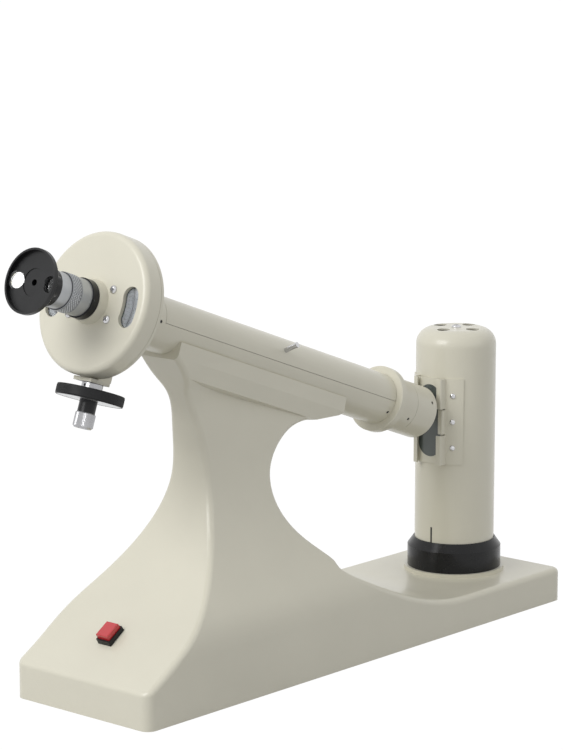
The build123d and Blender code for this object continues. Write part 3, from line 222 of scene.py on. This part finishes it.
def shade(colour, factor):
    """The colour, lighter or darker."""
    return tuple(min(1.0, channel * factor) for channel in colour)


def vary(tree, shader, vector, colour, change, patch_scale, rough, rough_change):
    """Uneven colour and gloss over the surface."""
    patches = noise(tree, vector, patch_scale, 4)
    dark, light = shade(colour, 1 - change), shade(colour, 1 + change)
    tone = blend_colours(tree, spread(tree, patches, 0, 1), dark, light)
    tree.links.new(tone, shader.inputs["Base Color"])
    gloss = noise(tree, vector, patch_scale * 3.1, 3)
    low, high = rough - rough_change, rough + rough_change
    tree.links.new(spread(tree, gloss, low, high), shader.inputs["Roughness"])


def enamel():
    """Ivory stove enamel with a fine orange peel."""
    material, tree, shader = start_material("ivory_enamel")
    vector = object_coordinates(tree)
    colour = tuple(settings("colours").enamel)
    vary(tree, shader, vector, colour, 0.015, 22, 0.36, 0.03)
    shader.inputs["Specular IOR Level"].default_value = 0.45
    shader.inputs["Coat Weight"].default_value = 0.25
    shader.inputs["Coat Roughness"].default_value = 0.12
    add_bump(tree, shader, noise(tree, vector, 900, 2), 0.18, 0.0002)
    return material


def painted_black(name, colour, rough, peel=0.1):
    """Semi-gloss black paint or moulding."""
    material, tree, shader = start_material(name)
    vector = object_coordinates(tree)
    vary(tree, shader, vector, colour, 0.15, 60, rough, 0.05)
    shader.inputs["Specular IOR Level"].default_value = 0.28
    add_bump(tree, shader, noise(tree, vector, 1400, 3), peel, 0.0001)
    return material


def turned_black():
    """Black lacquer over fine turning rings, round the tube's axis."""
    material, tree, shader = start_material("turned_black")
    vector = object_coordinates(tree, TUBE)
    vary(tree, shader, vector, tuple(settings("colours").black), 0.2, 70, 0.34, 0.05)
    shader.inputs["Specular IOR Level"].default_value = 0.36
    add_bump(tree, shader, rings(tree, vector, 900, 1.5), 0.12, 0.00008)
    return material


def rings(tree, vector, scale, distortion):
    """Concentric turning rings about local z."""
    node = tree.nodes.new("ShaderNodeTexWave")
    node.wave_type = "RINGS"
    node.rings_direction = "Z"
    node.inputs["Scale"].default_value = scale
    node.inputs["Distortion"].default_value = distortion
    node.inputs["Detail"].default_value = 2
    tree.links.new(vector, node.inputs["Vector"])
    return node.outputs["Fac"]


def metal(name, colour, rough, place=None, ring_scale=0.0, ring_strength=0.08, blotch=0.04):
    """Bare or plated metal, with turning rings where a frame is given."""
    material, tree, shader = start_material(name)
    vector = object_coordinates(tree, place)
    shader.inputs["Metallic"].default_value = 1.0
    vary(tree, shader, vector, colour, blotch, 90, rough, min(0.06, rough * 0.35))
    if ring_scale:
        add_bump(tree, shader, rings(tree, vector, ring_scale, 1.2), ring_strength, 0.00006)
    add_bump(tree, shader, noise(tree, vector, 2600, 2), 0.05, 0.00005)
    return material


def knurled_metal(name, colour, rough, place, groove, crest):
    """Satin metal with painted shade in the knurl's grooves and a painted highlight on its crests, graded
    between a groove's and a crest's radius round the local axis.
    """
    material, tree, shader = start_material(name)
    vector = object_coordinates(tree, place, (1, 1, 0))
    radius = tree.nodes.new("ShaderNodeVectorMath")
    radius.operation = "LENGTH"
    tree.links.new(vector, radius.inputs[0])
    groove_shade_crest_light = spread(tree, radius.outputs["Value"], 0, 1, groove, crest)
    # painted shade in the knurl's grooves, painted highlight on its crests
    tone = blend_colours(tree, groove_shade_crest_light, shade(colour, 0.25), shade(colour, 1.15))
    tree.links.new(tone, shader.inputs["Base Color"])
    shader.inputs["Metallic"].default_value = 1.0
    gloss = noise(tree, object_coordinates(tree, place), 280, 3)
    tree.links.new(spread(tree, gloss, rough - 0.05, rough + 0.05), shader.inputs["Roughness"])
    return material


def clear_glass(name, tint, rough=0.02):
    """Clear glass with faint smears."""
    material, tree, shader = start_material(name)
    vector = object_coordinates(tree)
    vary(tree, shader, vector, tint, 0.01, 40, rough, rough * 0.5)
    shader.inputs["Transmission Weight"].default_value = 1.0
    shader.inputs["IOR"].default_value = 1.5
    return material


def grey_window():
    """Smoke-grey diffusing glass of the light window."""
    material, tree, shader = start_material("smoke_grey_glass")
    vector = object_coordinates(tree)
    vary(tree, shader, vector, (0.082, 0.096, 0.09), 0.05, 25, 0.3, 0.04)
    shader.inputs["Coat Weight"].default_value = 0.3
    shader.inputs["Coat Roughness"].default_value = 0.2
    add_bump(tree, shader, noise(tree, vector, 1200, 2), 0.05, 0.0001)
    return material


def moulded(name, colour, rough, coat=0.0):
    """Moulded plastic or ceramic."""
    material, tree, shader = start_material(name)
    vector = object_coordinates(tree)
    vary(tree, shader, vector, colour, 0.05, 80, rough, 0.04)
    shader.inputs["Coat Weight"].default_value = coat
    shader.inputs["Coat Roughness"].default_value = 0.1
    add_bump(tree, shader, noise(tree, vector, 1800, 2), 0.1, 0.00008)
    return material


def varnished_winding():
    """Varnished copper winding with its turns."""
    material, tree, shader = start_material("varnished_winding")
    vector = object_coordinates(tree)
    vary(tree, shader, vector, (0.30, 0.12, 0.05), 0.2, 60, 0.35, 0.08)
    turns = tree.nodes.new("ShaderNodeTexWave")
    turns.bands_direction = "X"
    turns.inputs["Scale"].default_value = 350
    tree.links.new(vector, turns.inputs["Vector"])
    add_bump(tree, shader, turns.outputs["Fac"], 0.5, 0.0004)
    return material


FINISHES = {}


def make_finishes():
    """All materials, by the name that the pieces use."""
    black = tuple(settings("colours").black)
    FINISHES["enamel"] = enamel()
    FINISHES["black_paint"] = painted_black("black_lacquer", black, 0.24)
    FINISHES["turned_black"] = turned_black()
    FINISHES["black_plastic"] = painted_black("black_moulding", shade(black, 1.2), 0.42, 0.2)
    FINISHES["rubber"] = painted_black("black_rubber", shade(black, 1.5), 0.8, 0.4)
    FINISHES["chrome"] = metal("bright_chrome", (0.56, 0.56, 0.57), 0.16)
    FINISHES["knob_chrome"] = metal("turned_chrome", (0.40, 0.40, 0.41), 0.22, KNOB, 500, 0.1)
    FINISHES["satin_aluminium"] = metal("satin_aluminium", (0.43, 0.445, 0.465), 0.42, TUBE, 700, 0.05, 0.02)
    FINISHES["knurled_aluminium"] = knurled_metal(
        "knurled_aluminium", (0.43, 0.445, 0.465), 0.42, TUBE, 14.1 * MM, 14.5 * MM)
    FINISHES["wheel_metal"] = metal("turned_wheel_disc", (0.62, 0.63, 0.64), 0.3, KNOB, 650, 0.2)
    FINISHES["steel"] = metal("zinc_steel", (0.5, 0.5, 0.49), 0.35)
    FINISHES["dark_steel"] = metal("blackened_steel", (0.06, 0.06, 0.062), 0.4)
    FINISHES["brass"] = metal("turned_brass", (0.62, 0.45, 0.2), 0.3, TUBE, 700, 0.08)
    FINISHES["scale_metal"] = moulded("engraved_scale", (0.50, 0.52, 0.55), 0.5)
    FINISHES["glass"] = clear_glass("clear_glass", (0.97, 0.98, 0.98), 0.0)
    FINISHES["bulb_glass"] = clear_glass("bulb_glass", (0.98, 0.97, 0.94), 0.015)
    FINISHES["grey_glass"] = grey_window()
    FINISHES["red_cap"] = moulded("red_cap", tuple(settings("colours").cap), 0.22, 0.4)
    FINISHES["mount_plastic"] = moulded("white_ceramic", (0.72, 0.70, 0.65), 0.35)
    FINISHES["copper_winding"] = varnished_winding()
    # black of the marks and numbers, also used for the painted shade line along the dial's gap
    FINISHES["ink_and_gap_shade"] = moulded("black_filling_and_gap_shade", (0.015, 0.015, 0.016), 0.6)


NODE_FINISHES = {
    "magnifier_dish": "turned_black",
    "eyepiece_collar": "turned_black",
    "handwheel_disc": "wheel_metal",
    "shaft_collar": "knob_chrome",
    "tube_screws": "dark_steel",
    "base_plate": "steel",
    "pinion_shaft": "steel",
}


def dress_nodes():
    """Give every CAD node the finish of its slot, or its own one."""
    for entry in frame["record"]["subparts"]:
        node = entry["node"]
        piece = NODES[node]
        piece.data.materials.clear()
        piece.data.materials.append(FINISHES[NODE_FINISHES.get(node, entry["material_slot"])])


# Modelling


def start_piece(name):
    """Name the primitive that was just added, and go into edit mode."""
    piece = bpy.context.active_object
    piece.name = name
    piece.data.name = name
    bpy.ops.object.mode_set(mode="EDIT")
    return piece


def deselect():
    """Nothing selected, object mode."""
    if bpy.context.mode != "OBJECT":
        bpy.ops.object.mode_set(mode="OBJECT")
    bpy.ops.object.select_all(action="DESELECT")


def finish_piece(piece, place, body, finish, smooth=35, replaces=()):
    """Set the piece in place, give it its finish and let it ride with its body."""
    if bpy.context.mode != "OBJECT":
        bpy.ops.object.mode_set(mode="OBJECT")
    bpy.ops.object.select_all(action="DESELECT")
    piece.select_set(True)
    bpy.context.view_layer.objects.active = piece
    if smooth:
        bpy.ops.object.shade_smooth_by_angle(angle=radians(smooth))
    piece.matrix_world = place
    bpy.ops.object.transform_apply(location=True, rotation=True, scale=True)
    piece.data.materials.clear()
    piece.data.materials.append(FINISHES[finish])
    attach(piece, body)
    if replaces:
        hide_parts(*replaces)
    return piece


def lathe(name, outline, segments=96, closed=True):
    """Turned piece: a circle extruded from station to station, (radius, z) in metres."""
    deselect()
    radius, height = outline[0]
    bpy.ops.mesh.primitive_circle_add(vertices=segments, radius=radius, location=(0, 0, height))
    piece = start_piece(name)
    bpy.ops.object.mode_set(mode="OBJECT")
    bpy.ops.object.transform_apply(location=True, rotation=False, scale=False)
    bpy.ops.object.mode_set(mode="EDIT")
    last_radius, last_height = radius, height
    for radius, height in outline[1:]:
        bpy.ops.mesh.extrude_edges_move(
            TRANSFORM_OT_translate={"value": (0, 0, height - last_height)})
        ratio = radius / last_radius
        bpy.ops.transform.resize(value=(ratio, ratio, 1), center_override=(0, 0, height))
        last_radius, last_height = radius, height
    bpy.ops.mesh.select_all(action="SELECT")
    if closed:
        bpy.ops.mesh.remove_doubles(threshold=1e-7)
    bpy.ops.mesh.normals_make_consistent(inside=False)
    return piece


def knurl_skin(name, radius, start, end, pitch, depth, slant=True):
    """Cylinder skin with diamond or straight teeth, closed back to a smaller radius at both ends."""
    around = max(12, round(2 * pi * radius / pitch))
    rows = max(1, round((end - start) / pitch))
    columns, lines = around * 4, rows * 4 if slant else 2
    deselect()
    bpy.ops.mesh.primitive_grid_add(x_subdivisions=columns, y_subdivisions=lines, size=1)
    piece = start_piece(name)
    bpy.ops.object.mode_set(mode="OBJECT")
    for vertex in piece.data.vertices:
        turn = (vertex.co.x + 0.5) * around
        climb = (vertex.co.y + 0.5) * rows if slant else 0.0
        tooth = max(abs(2 * ((turn + climb) % 1) - 1), abs(2 * ((turn - climb) % 1) - 1))
        if not slant:
            tooth = abs(2 * (turn % 1) - 1)
        at_end = slant and (abs(vertex.co.y) > 0.499)
        reach = radius - depth * (1.0 if at_end else tooth)
        angle = 2 * pi * (vertex.co.x + 0.5)
        height = start + (vertex.co.y + 0.5) * (end - start)
        vertex.co = (reach * cos(angle), reach * sin(angle), height)
    bpy.ops.object.mode_set(mode="EDIT")
    bpy.ops.mesh.select_all(action="SELECT")
    bpy.ops.mesh.remove_doubles(threshold=1e-7)
    bpy.ops.mesh.normals_make_consistent(inside=False)
    return piece


def join(first, *others):
    """One mesh from several."""
    deselect()
    for piece in (first, *others):
        piece.select_set(True)
    bpy.context.view_layer.objects.active = first
    bpy.ops.object.join()
    return first


def mm(*outline):
    """Outline in millimetres as metres."""
    return [(r * MM, z * MM) for r, z in outline]


def build_focus_ring():
    """Knurled focusing ring between two plain lips."""
    sizes = settings("fittings")
    body = lathe("focus_ring_body", mm(
        (11.36, -24.1), (14.1, -24.1), (14.35, -24.4), (14.35, -25.0), (14.15, -25.2), (14.15, -34.0),
        (14.35, -34.2), (14.35, -34.7), (14.1, -35.0), (13.56, -35.0), (13.56, -28.3), (11.36, -28.3),
        (11.36, -24.1)))
    pitch, depth = sizes.knurl_pitch, sizes.knurl_depth
    skin = knurl_skin("focus_ring_knurl", 14.6 * MM, -34.0 * MM, -25.2 * MM, pitch, depth)
    ring = join(body, skin)
    ring.name = "knurled_focus_ring"
    finish_piece(ring, TUBE, "focus", "knurled_aluminium", 20, ["focus_ring"])


def build_fine_knob():
    """Straight-knurled bright knob with a plain chamfered end."""
    low, high = 78.35 * MM, 90.0 * MM
    skin = knurl_skin("fine_knob_teeth", 7.6 * MM, 79.0 * MM, 88.7 * MM, 0.95 * MM, 0.22 * MM, False)
    body = lathe("fine_knob_body", [
        (3.06 * MM, low), (6.9 * MM, low), (7.4 * MM, low + 0.6 * MM), (7.25 * MM, 79.2 * MM),
        (7.25 * MM, 88.5 * MM), (7.4 * MM, 88.7 * MM), (6.3 * MM, high), (5.2 * MM, high),
        (5.0 * MM, high - 0.25 * MM), (0.01 * MM, high - 0.25 * MM)])
    knob = join(body, skin)
    knob.name = "knurled_fine_knob"
    finish_piece(knob, KNOB, "handwheel", "knob_chrome", 20, ["fine_knob"])


def build_handwheel():
    """Black handwheel with a finely knurled rim."""
    body = lathe("handwheel_body", mm(
        (3.06, 61.25), (6.0, 61.25), (6.2, 61.2), (24.4, 61.2), (25.1, 61.5), (25.2, 61.9),
        (25.0, 62.2), (25.0, 68.4), (25.2, 68.7), (25.1, 69.05), (24.6, 69.3), (24.2, 69.3),
        (24.2, 63.7), (3.06, 63.7), (3.06, 61.25)), 144)
    skin = knurl_skin("handwheel_knurl", 25.4 * MM, 62.2 * MM, 68.4 * MM, 1.0 * MM, 0.22 * MM)
    wheel = join(body, skin)
    wheel.name = "knurled_handwheel"
    finish_piece(wheel, KNOB, "handwheel", "black_plastic", 20, ["handwheel"])


def cross_head(name, radius, height):
    """Domed screw head with a cross recess, its seat at z 0 and its crown at -height."""
    half_width, wall, hub, arm = 0.13 * radius, 0.015 * radius, 0.24 * radius, 0.575 * radius
    dome = [factor * radius for factor in (0.8, 0.93, 0.985, 1.0)]
    stations = [0.0, hub, hub + wall, (hub + arm) / 2, arm, arm + wall, *dome, radius, 0.0]
    rows, quarter = len(stations) - 1, 8
    deselect()
    bpy.ops.mesh.primitive_grid_add(x_subdivisions=4 * quarter, y_subdivisions=rows, size=1)
    piece = start_piece(name)
    bpy.ops.object.mode_set(mode="OBJECT")
    for vertex in piece.data.vertices:
        turns, column = divmod(round((vertex.co.x + 0.5) * 4 * quarter), quarter)
        row = round((vertex.co.y + 0.5) * rows)
        reach = stations[row]
        at = min(max(reach, hub), arm)
        low, high = asin(half_width / at), asin((half_width + wall) / at)
        gap = pi / 2 - 2 * high
        between = [high + gap * part / 4 for part in (0, 1, 2, 3, 4)]
        offsets = [0, low, *between, pi / 2 - low]
        if row < 2 or (row < 5 and column in (0, 1, quarter - 1)):
            level = -0.525 * height
        elif row > rows - 2:
            level = 0.0
        else:
            level = -height * (0.22 + 0.78 * sqrt(max(0.0, 1 - (reach / radius) ** 2)))
        angle = pi / 4 + turns * pi / 2 + offsets[column]
        vertex.co = (reach * cos(angle), reach * sin(angle), level)
    bpy.ops.object.mode_set(mode="EDIT")
    bpy.ops.mesh.select_all(action="SELECT")
    bpy.ops.mesh.remove_doubles(threshold=1e-7)
    bpy.ops.mesh.normals_make_consistent(inside=False)
    bpy.ops.object.mode_set(mode="OBJECT")
    return piece


def copies(head, places):
    """The head copied to each place, as one mesh."""
    result = []
    for place in places:
        piece = head.copy()
        piece.data = head.data.copy()
        bpy.context.collection.objects.link(piece)
        piece.data.transform(place)
        result.append(piece)
    bpy.data.objects.remove(head)
    return join(*result)


def build_face_screws():
    """Four cross-head screws of the housing cover."""
    head = cross_head("face_screw", 3.1 * MM, 2.3 * MM)
    reach, spread_angle = 22.3 * MM, radians(30)
    places = []
    for index, angle in enumerate((spread_angle, -spread_angle, pi - spread_angle, pi + spread_angle)):
        at = Vector((reach * sin(angle), reach * cos(angle), 0))
        places.append(Matrix.Translation(at) @ Matrix.Rotation(0.5 + 0.9 * index, 4, "Z"))
    screws = copies(head, places)
    screws.name = "face_screws"
    finish_piece(screws, TUBE, "stand", "chrome", 30, ["housing_screws"])


def build_lamp_screws():
    """Six cross-head screws of the guides and the dome screw."""
    guide_low, guide_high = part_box("slide_guides")
    middle, pitch = (guide_low[2] + guide_high[2]) / 2, 22 * MM
    skin = (house_high[0] - house_low[0]) / 2 + 1.2 * MM
    head = cross_head("guide_screw", 2.3 * MM, 1.5 * MM)
    places = []
    for side in (-1, 1):
        for row in (-1, 0, 1):
            turn = radians(180 + side * GUIDE_SCREW_ANGLE)
            out = Vector((cos(turn), sin(turn), 0))
            aim = (-out).to_track_quat("Z", "X").to_matrix().to_4x4()
            spin = Matrix.Rotation(0.7 * row + side, 4, "Z")
            places.append(Matrix.Translation(out * skin + Vector((0, 0, middle + row * pitch))) @ aim @ spin)
    screws = copies(head, places)
    crown = cross_head("dome_screw", 4.0 * MM, 2.2 * MM)
    turn_over = Matrix.Translation((0, 0, house_high[2])) @ Matrix.Rotation(pi, 4, "X")
    crown = copies(crown, [turn_over])
    screws = join(screws, crown)
    screws.name = "lamp_screws"
    finish_piece(screws, LAMP, "lamp_cover", "chrome", 30, ["lamp_house_screws"])


def mark_strip(points, faces, inner, outer, angle, half_width, height):
    """One flat graduation from an inner to an outer radius."""
    first = len(points)
    ray = Vector((sin(angle), cos(angle), 0))
    side = Vector((cos(angle), -sin(angle), 0))
    for radius, sign in ((inner, -1), (outer, -1), (outer, 1), (inner, 1)):
        points.append(ray * radius + side * half_width * sign + Vector((0, 0, height)))
    faces.append((first, first + 1, first + 2, first + 3))


def flat_marks(name, strips, height, body):
    """Graduations as one thin sheet, (inner, outer, angle) each."""
    points, faces = [], []
    half = settings("fittings").mark_width / 2
    for inner, outer, angle in strips:
        mark_strip(points, faces, inner, outer, angle, half, height)
    mesh = bpy.data.meshes.new(name)
    mesh.from_pydata(points, [], faces)
    piece = bpy.data.objects.new(name, mesh)
    bpy.context.collection.objects.link(piece)
    thicken(piece, MARK_DEPTH)
    finish_piece(piece, TUBE, body, "ink_and_gap_shade", 0)


def thicken(piece, depth):
    """Give a flat sheet its thickness."""
    deselect()
    piece.select_set(True)
    bpy.context.view_layer.objects.active = piece
    solid = piece.modifiers.new("depth", "SOLIDIFY")
    solid.thickness = depth
    solid.offset = 1
    bpy.ops.object.modifier_apply(modifier="depth")


def scale_numbers(name, labels, radius, size, height, body):
    """Plain numbers round a scale, (text, angle) each, read from outside the circle."""
    made = []
    for text, angle in labels:
        deselect()
        bpy.ops.object.text_add(location=(0, 0, 0))
        number = bpy.context.active_object
        number.data.body = text
        number.data.size = size
        number.data.align_x = "CENTER"
        number.data.align_y = "CENTER"
        number.data.extrude = 0.01 * MM
        number.data.resolution_u = 2
        bpy.ops.object.convert(target="MESH")
        ray = Vector((sin(angle), cos(angle), 0))
        face_out = Vector((0, 0, -1))
        up = ray
        right = up.cross(face_out)
        turn = Matrix((right, up, face_out)).transposed().to_4x4()
        number.data.transform(Matrix.Translation(ray * radius + Vector((0, 0, height))) @ turn)
        made.append(number)
    piece = join(*made)
    piece.name = name
    piece.data.name = name
    finish_piece(piece, TUBE, body, "ink_and_gap_shade", 0)


def build_scales():
    """Degree marks and numbers on the dial, vernier marks and numbers on the fixed plate, and a painted
    shade line along the gap between plate and dial.
    """
    face = SCALE_FACE - MARK_DEPTH
    strips = []
    for degree in range(360):
        length = 3.6 if degree % 10 == 0 else 2.8 if degree % 5 == 0 else 1.9
        strips.append((SPLIT_R + MARK_GAP, SPLIT_R + length * MM, radians(degree)))
    flat_marks("dial_marks", strips, face, "dial")
    labels = [(str(degree), radians(degree)) for degree in range(0, 360, 10)]
    scale_numbers("dial_numbers", labels, SPLIT_R + 5.2 * MM, 1.9 * MM, face, "dial")
    vernier, numbers = [], []
    step = radians(0.95)
    for half_turn in (0, pi):
        for division in range(-20, 21):
            length = 3.4 if division % 5 == 0 else 2.0
            vernier.append((SPLIT_R - length * MM, SPLIT_R - MARK_GAP, half_turn + division * step))
        for division in range(-20, 21, 5):
            numbers.append((str(abs(division)), half_turn + division * step))
    flat_marks("vernier_marks", vernier, face, "stand")
    # painted shade of the gap between the fixed plate and the dial
    build_vernier_edge(face)
    scale_numbers("vernier_numbers", numbers, SPLIT_R - 4.6 * MM, 1.7 * MM, face, "stand")


def build_vernier_edge(face):
    """Painted shade of the gap between the fixed plate and the dial: a black ring on the plate's rim."""
    inner, outer = SPLIT_R - SPLIT_SHADE_WIDTH, SPLIT_R - MARK_DEPTH
    outline = [(inner, face - MARK_DEPTH), (outer, face - MARK_DEPTH), (outer, face), (inner, face)]
    gap_shade = lathe("split_gap_shade", outline + outline[:1], 180)
    finish_piece(gap_shade, TUBE, "stand", "ink_and_gap_shade", 0)


def build_index_line():
    """Black index line on the lamp house, above the seat ring."""
    radius = (house_high[0] - house_low[0]) / 2
    deselect()
    bpy.ops.mesh.primitive_grid_add(x_subdivisions=6, y_subdivisions=2, size=1)
    piece = start_piece("lamp_index_line")
    bpy.ops.object.mode_set(mode="OBJECT")
    half_angle, low, high = 0.8 * MM / radius, 55.8 * MM, 69.0 * MM
    middle = radians(180 + INDEX_ANGLE)
    for vertex in piece.data.vertices:
        angle = middle + 2 * vertex.co.x * half_angle
        reach = radius + 0.02 * MM
        vertex.co = (reach * cos(angle), reach * sin(angle), low + (vertex.co.y + 0.5) * (high - low))
    thicken(piece, 0.05 * MM)
    finish_piece(piece, LAMP, "lamp_cover", "ink_and_gap_shade", 60)


# Studio


def seen_rays(tree):
    """Value 1 for the rays that show the surround: camera, glossy and transmission rays."""
    path = tree.nodes.new("ShaderNodeLightPath")
    value = path.outputs["Is Camera Ray"]
    for ray in ("Is Glossy Ray", "Is Transmission Ray"):
        both = tree.nodes.new("ShaderNodeMath")
        both.operation = "MAXIMUM"
        tree.links.new(value, both.inputs[0])
        tree.links.new(path.outputs[ray], both.inputs[1])
        value = both.outputs["Value"]
    return value


def build_stage():
    """Plain pale floor that runs on as a white backdrop for the camera."""
    deselect()
    bpy.ops.mesh.primitive_plane_add(size=30, location=(0, 0, 0))
    floor = bpy.context.active_object
    floor.name = "studio_floor"
    material, tree, shader = start_material("studio_floor")
    vector = object_coordinates(tree)
    vary(tree, shader, vector, FLOOR_GREY, 0.01, 2, 0.6, 0.03)
    output = tree.nodes["Material Output"]
    glow = tree.nodes.new("ShaderNodeEmission")
    glow.inputs["Color"].default_value = (1, 1, 1, 1)
    glow.inputs["Strength"].default_value = WHITE_LEVEL
    mix = tree.nodes.new("ShaderNodeMixShader")
    share = tree.nodes.new("ShaderNodeMath")
    share.operation = "MULTIPLY"
    share.inputs[1].default_value = 0.96
    tree.links.new(seen_rays(tree), share.inputs[0])
    tree.links.new(share.outputs["Value"], mix.inputs["Fac"])
    tree.links.new(shader.outputs["BSDF"], mix.inputs[1])
    tree.links.new(glow.outputs["Emission"], mix.inputs[2])
    tree.links.new(mix.outputs["Shader"], output.inputs["Surface"])
    floor.data.materials.append(material)


def build_world():
    """White surround: plain white to the camera, a soft level of light on the object."""
    world = bpy.data.worlds.new("studio")
    bpy.context.scene.world = world
    world.use_nodes = True
    tree = world.node_tree
    background = tree.nodes["Background"]
    background.inputs["Color"].default_value = (1, 1, 1, 1)
    level = tree.nodes.new("ShaderNodeMapRange")
    level.inputs["To Min"].default_value = settings("studio").sky
    level.inputs["To Max"].default_value = WHITE_LEVEL
    tree.links.new(seen_rays(tree), level.inputs["Value"])
    tree.links.new(level.outputs["Result"], background.inputs["Strength"])


def softbox(name, position, size, power, aim):
    """Square soft light that looks at a point."""
    deselect()
    bpy.ops.object.light_add(type="AREA", location=position)
    light = bpy.context.active_object
    light.name = name
    light.data.shape = "RECTANGLE"
    light.data.size, light.data.size_y = size
    light.data.energy = power
    light.rotation_euler = (Vector(aim) - Vector(position)).to_track_quat("-Z", "Y").to_euler()


def build_lights():
    """Key from the front left and above, a weak fill from the camera's right."""
    studio = settings("studio")
    softbox("key_softbox", (-2.0, 0.35, 1.7), (1.3, 1.3), studio.key, (0, 0, 0.15))
    softbox("fill_softbox", (0.6, -2.1, 1.3), (1.4, 1.0), studio.fill, (0, 0, 0.15))


def build_camera():
    """Camera where the photograph was taken."""
    studio = settings("studio")
    target = Vector(studio.target)
    around, up = studio.azimuth, studio.elevation
    back = Vector((sin(around) * cos(up), -cos(around) * cos(up), sin(up)))
    deselect()
    bpy.ops.object.camera_add(location=target + back * studio.distance)
    camera = bpy.context.active_object
    camera.rotation_euler = (-back).to_track_quat("-Z", "Y").to_euler()
    camera.data.sensor_fit = "VERTICAL"
    camera.data.sensor_height = 36
    camera.data.lens = studio.lens
    camera.data.clip_end = 50
    bpy.context.scene.camera = camera
    bpy.context.scene.view_settings.view_transform = "Standard"


class POLARIMETER_OT_finishes(bpy.types.Operator):
    """Make the finishes and dress every frame piece."""

    bl_idname = "polarimeter.finishes"
    bl_label = "Finishes"

    def execute(self, context):
        make_finishes()
        dress_nodes()
        return {"FINISHED"}


class POLARIMETER_OT_eyepiece(bpy.types.Operator):
    """Model the knurled focusing ring."""

    bl_idname = "polarimeter.eyepiece"
    bl_label = "Eyepiece"

    def execute(self, context):
        build_focus_ring()
        return {"FINISHED"}


class POLARIMETER_OT_handwheel(bpy.types.Operator):
    """Model the knurled handwheel and fine knob."""

    bl_idname = "polarimeter.handwheel"
    bl_label = "Handwheel"

    def execute(self, context):
        build_handwheel()
        build_fine_knob()
        return {"FINISHED"}


class POLARIMETER_OT_screws(bpy.types.Operator):
    """Model the cross-head screws."""

    bl_idname = "polarimeter.screws"
    bl_label = "Screws"

    def execute(self, context):
        build_face_screws()
        build_lamp_screws()
        return {"FINISHED"}


class POLARIMETER_OT_scales(bpy.types.Operator):
    """Lay out the dial, the vernier and the index line."""

    bl_idname = "polarimeter.scales"
    bl_label = "Scales"

    def execute(self, context):
        build_scales()
        build_index_line()
        return {"FINISHED"}


class POLARIMETER_OT_stage(bpy.types.Operator):
    """Set up floor, surround, lights and camera."""

    bl_idname = "polarimeter.stage"
    bl_label = "Studio"

    def execute(self, context):
        build_stage()
        build_world()
        build_lights()
        build_camera()
        return {"FINISHED"}


OPERATORS = (
    POLARIMETER_OT_finishes, POLARIMETER_OT_eyepiece, POLARIMETER_OT_handwheel, POLARIMETER_OT_screws,
    POLARIMETER_OT_scales, POLARIMETER_OT_stage,
)


class POLARIMETER_PT_panel(bpy.types.Panel):
    """The polarimeter's operators and settings."""

    bl_idname = "POLARIMETER_PT_panel"
    bl_label = "Polarimeter"
    bl_space_type = "VIEW_3D"
    bl_region_type = "UI"
    bl_category = "Polarimeter"

    def draw(self, context):
        for operator in OPERATORS:
            self.layout.operator(operator.bl_idname)
        for group in GROUPS:
            values = settings(group)
            for name in values.bl_rna.properties.keys():
                if name not in ("rna_type", "name"):
                    self.layout.prop(values, name)


GROUPS = {"studio": StudioSizes, "colours": FinishColours, "fittings": FittingSizes}


def register():
    """Register the classes and hang the settings on the scene."""
    for kind in GROUPS.values():
        bpy.utils.register_class(kind)
    for name, kind in GROUPS.items():
        setattr(bpy.types.Scene, "polarimeter_" + name, bpy.props.PointerProperty(type=kind))
    for kind in (*OPERATORS, POLARIMETER_PT_panel):
        bpy.utils.register_class(kind)


def unregister():
    """Take everything back out."""
    for kind in (POLARIMETER_PT_panel, *reversed(OPERATORS)):
        bpy.utils.unregister_class(kind)
    for name in GROUPS:
        delattr(bpy.types.Scene, "polarimeter_" + name)
    for kind in reversed(GROUPS.values()):
        bpy.utils.unregister_class(kind)


def main():
    """Build everything in order."""
    register()
    bpy.ops.polarimeter.finishes()
    bpy.ops.polarimeter.eyepiece()
    bpy.ops.polarimeter.handwheel()
    bpy.ops.polarimeter.screws()
    bpy.ops.polarimeter.scales()
    bpy.ops.polarimeter.stage()
    deselect()


if __name__ == "__main__":
    main()
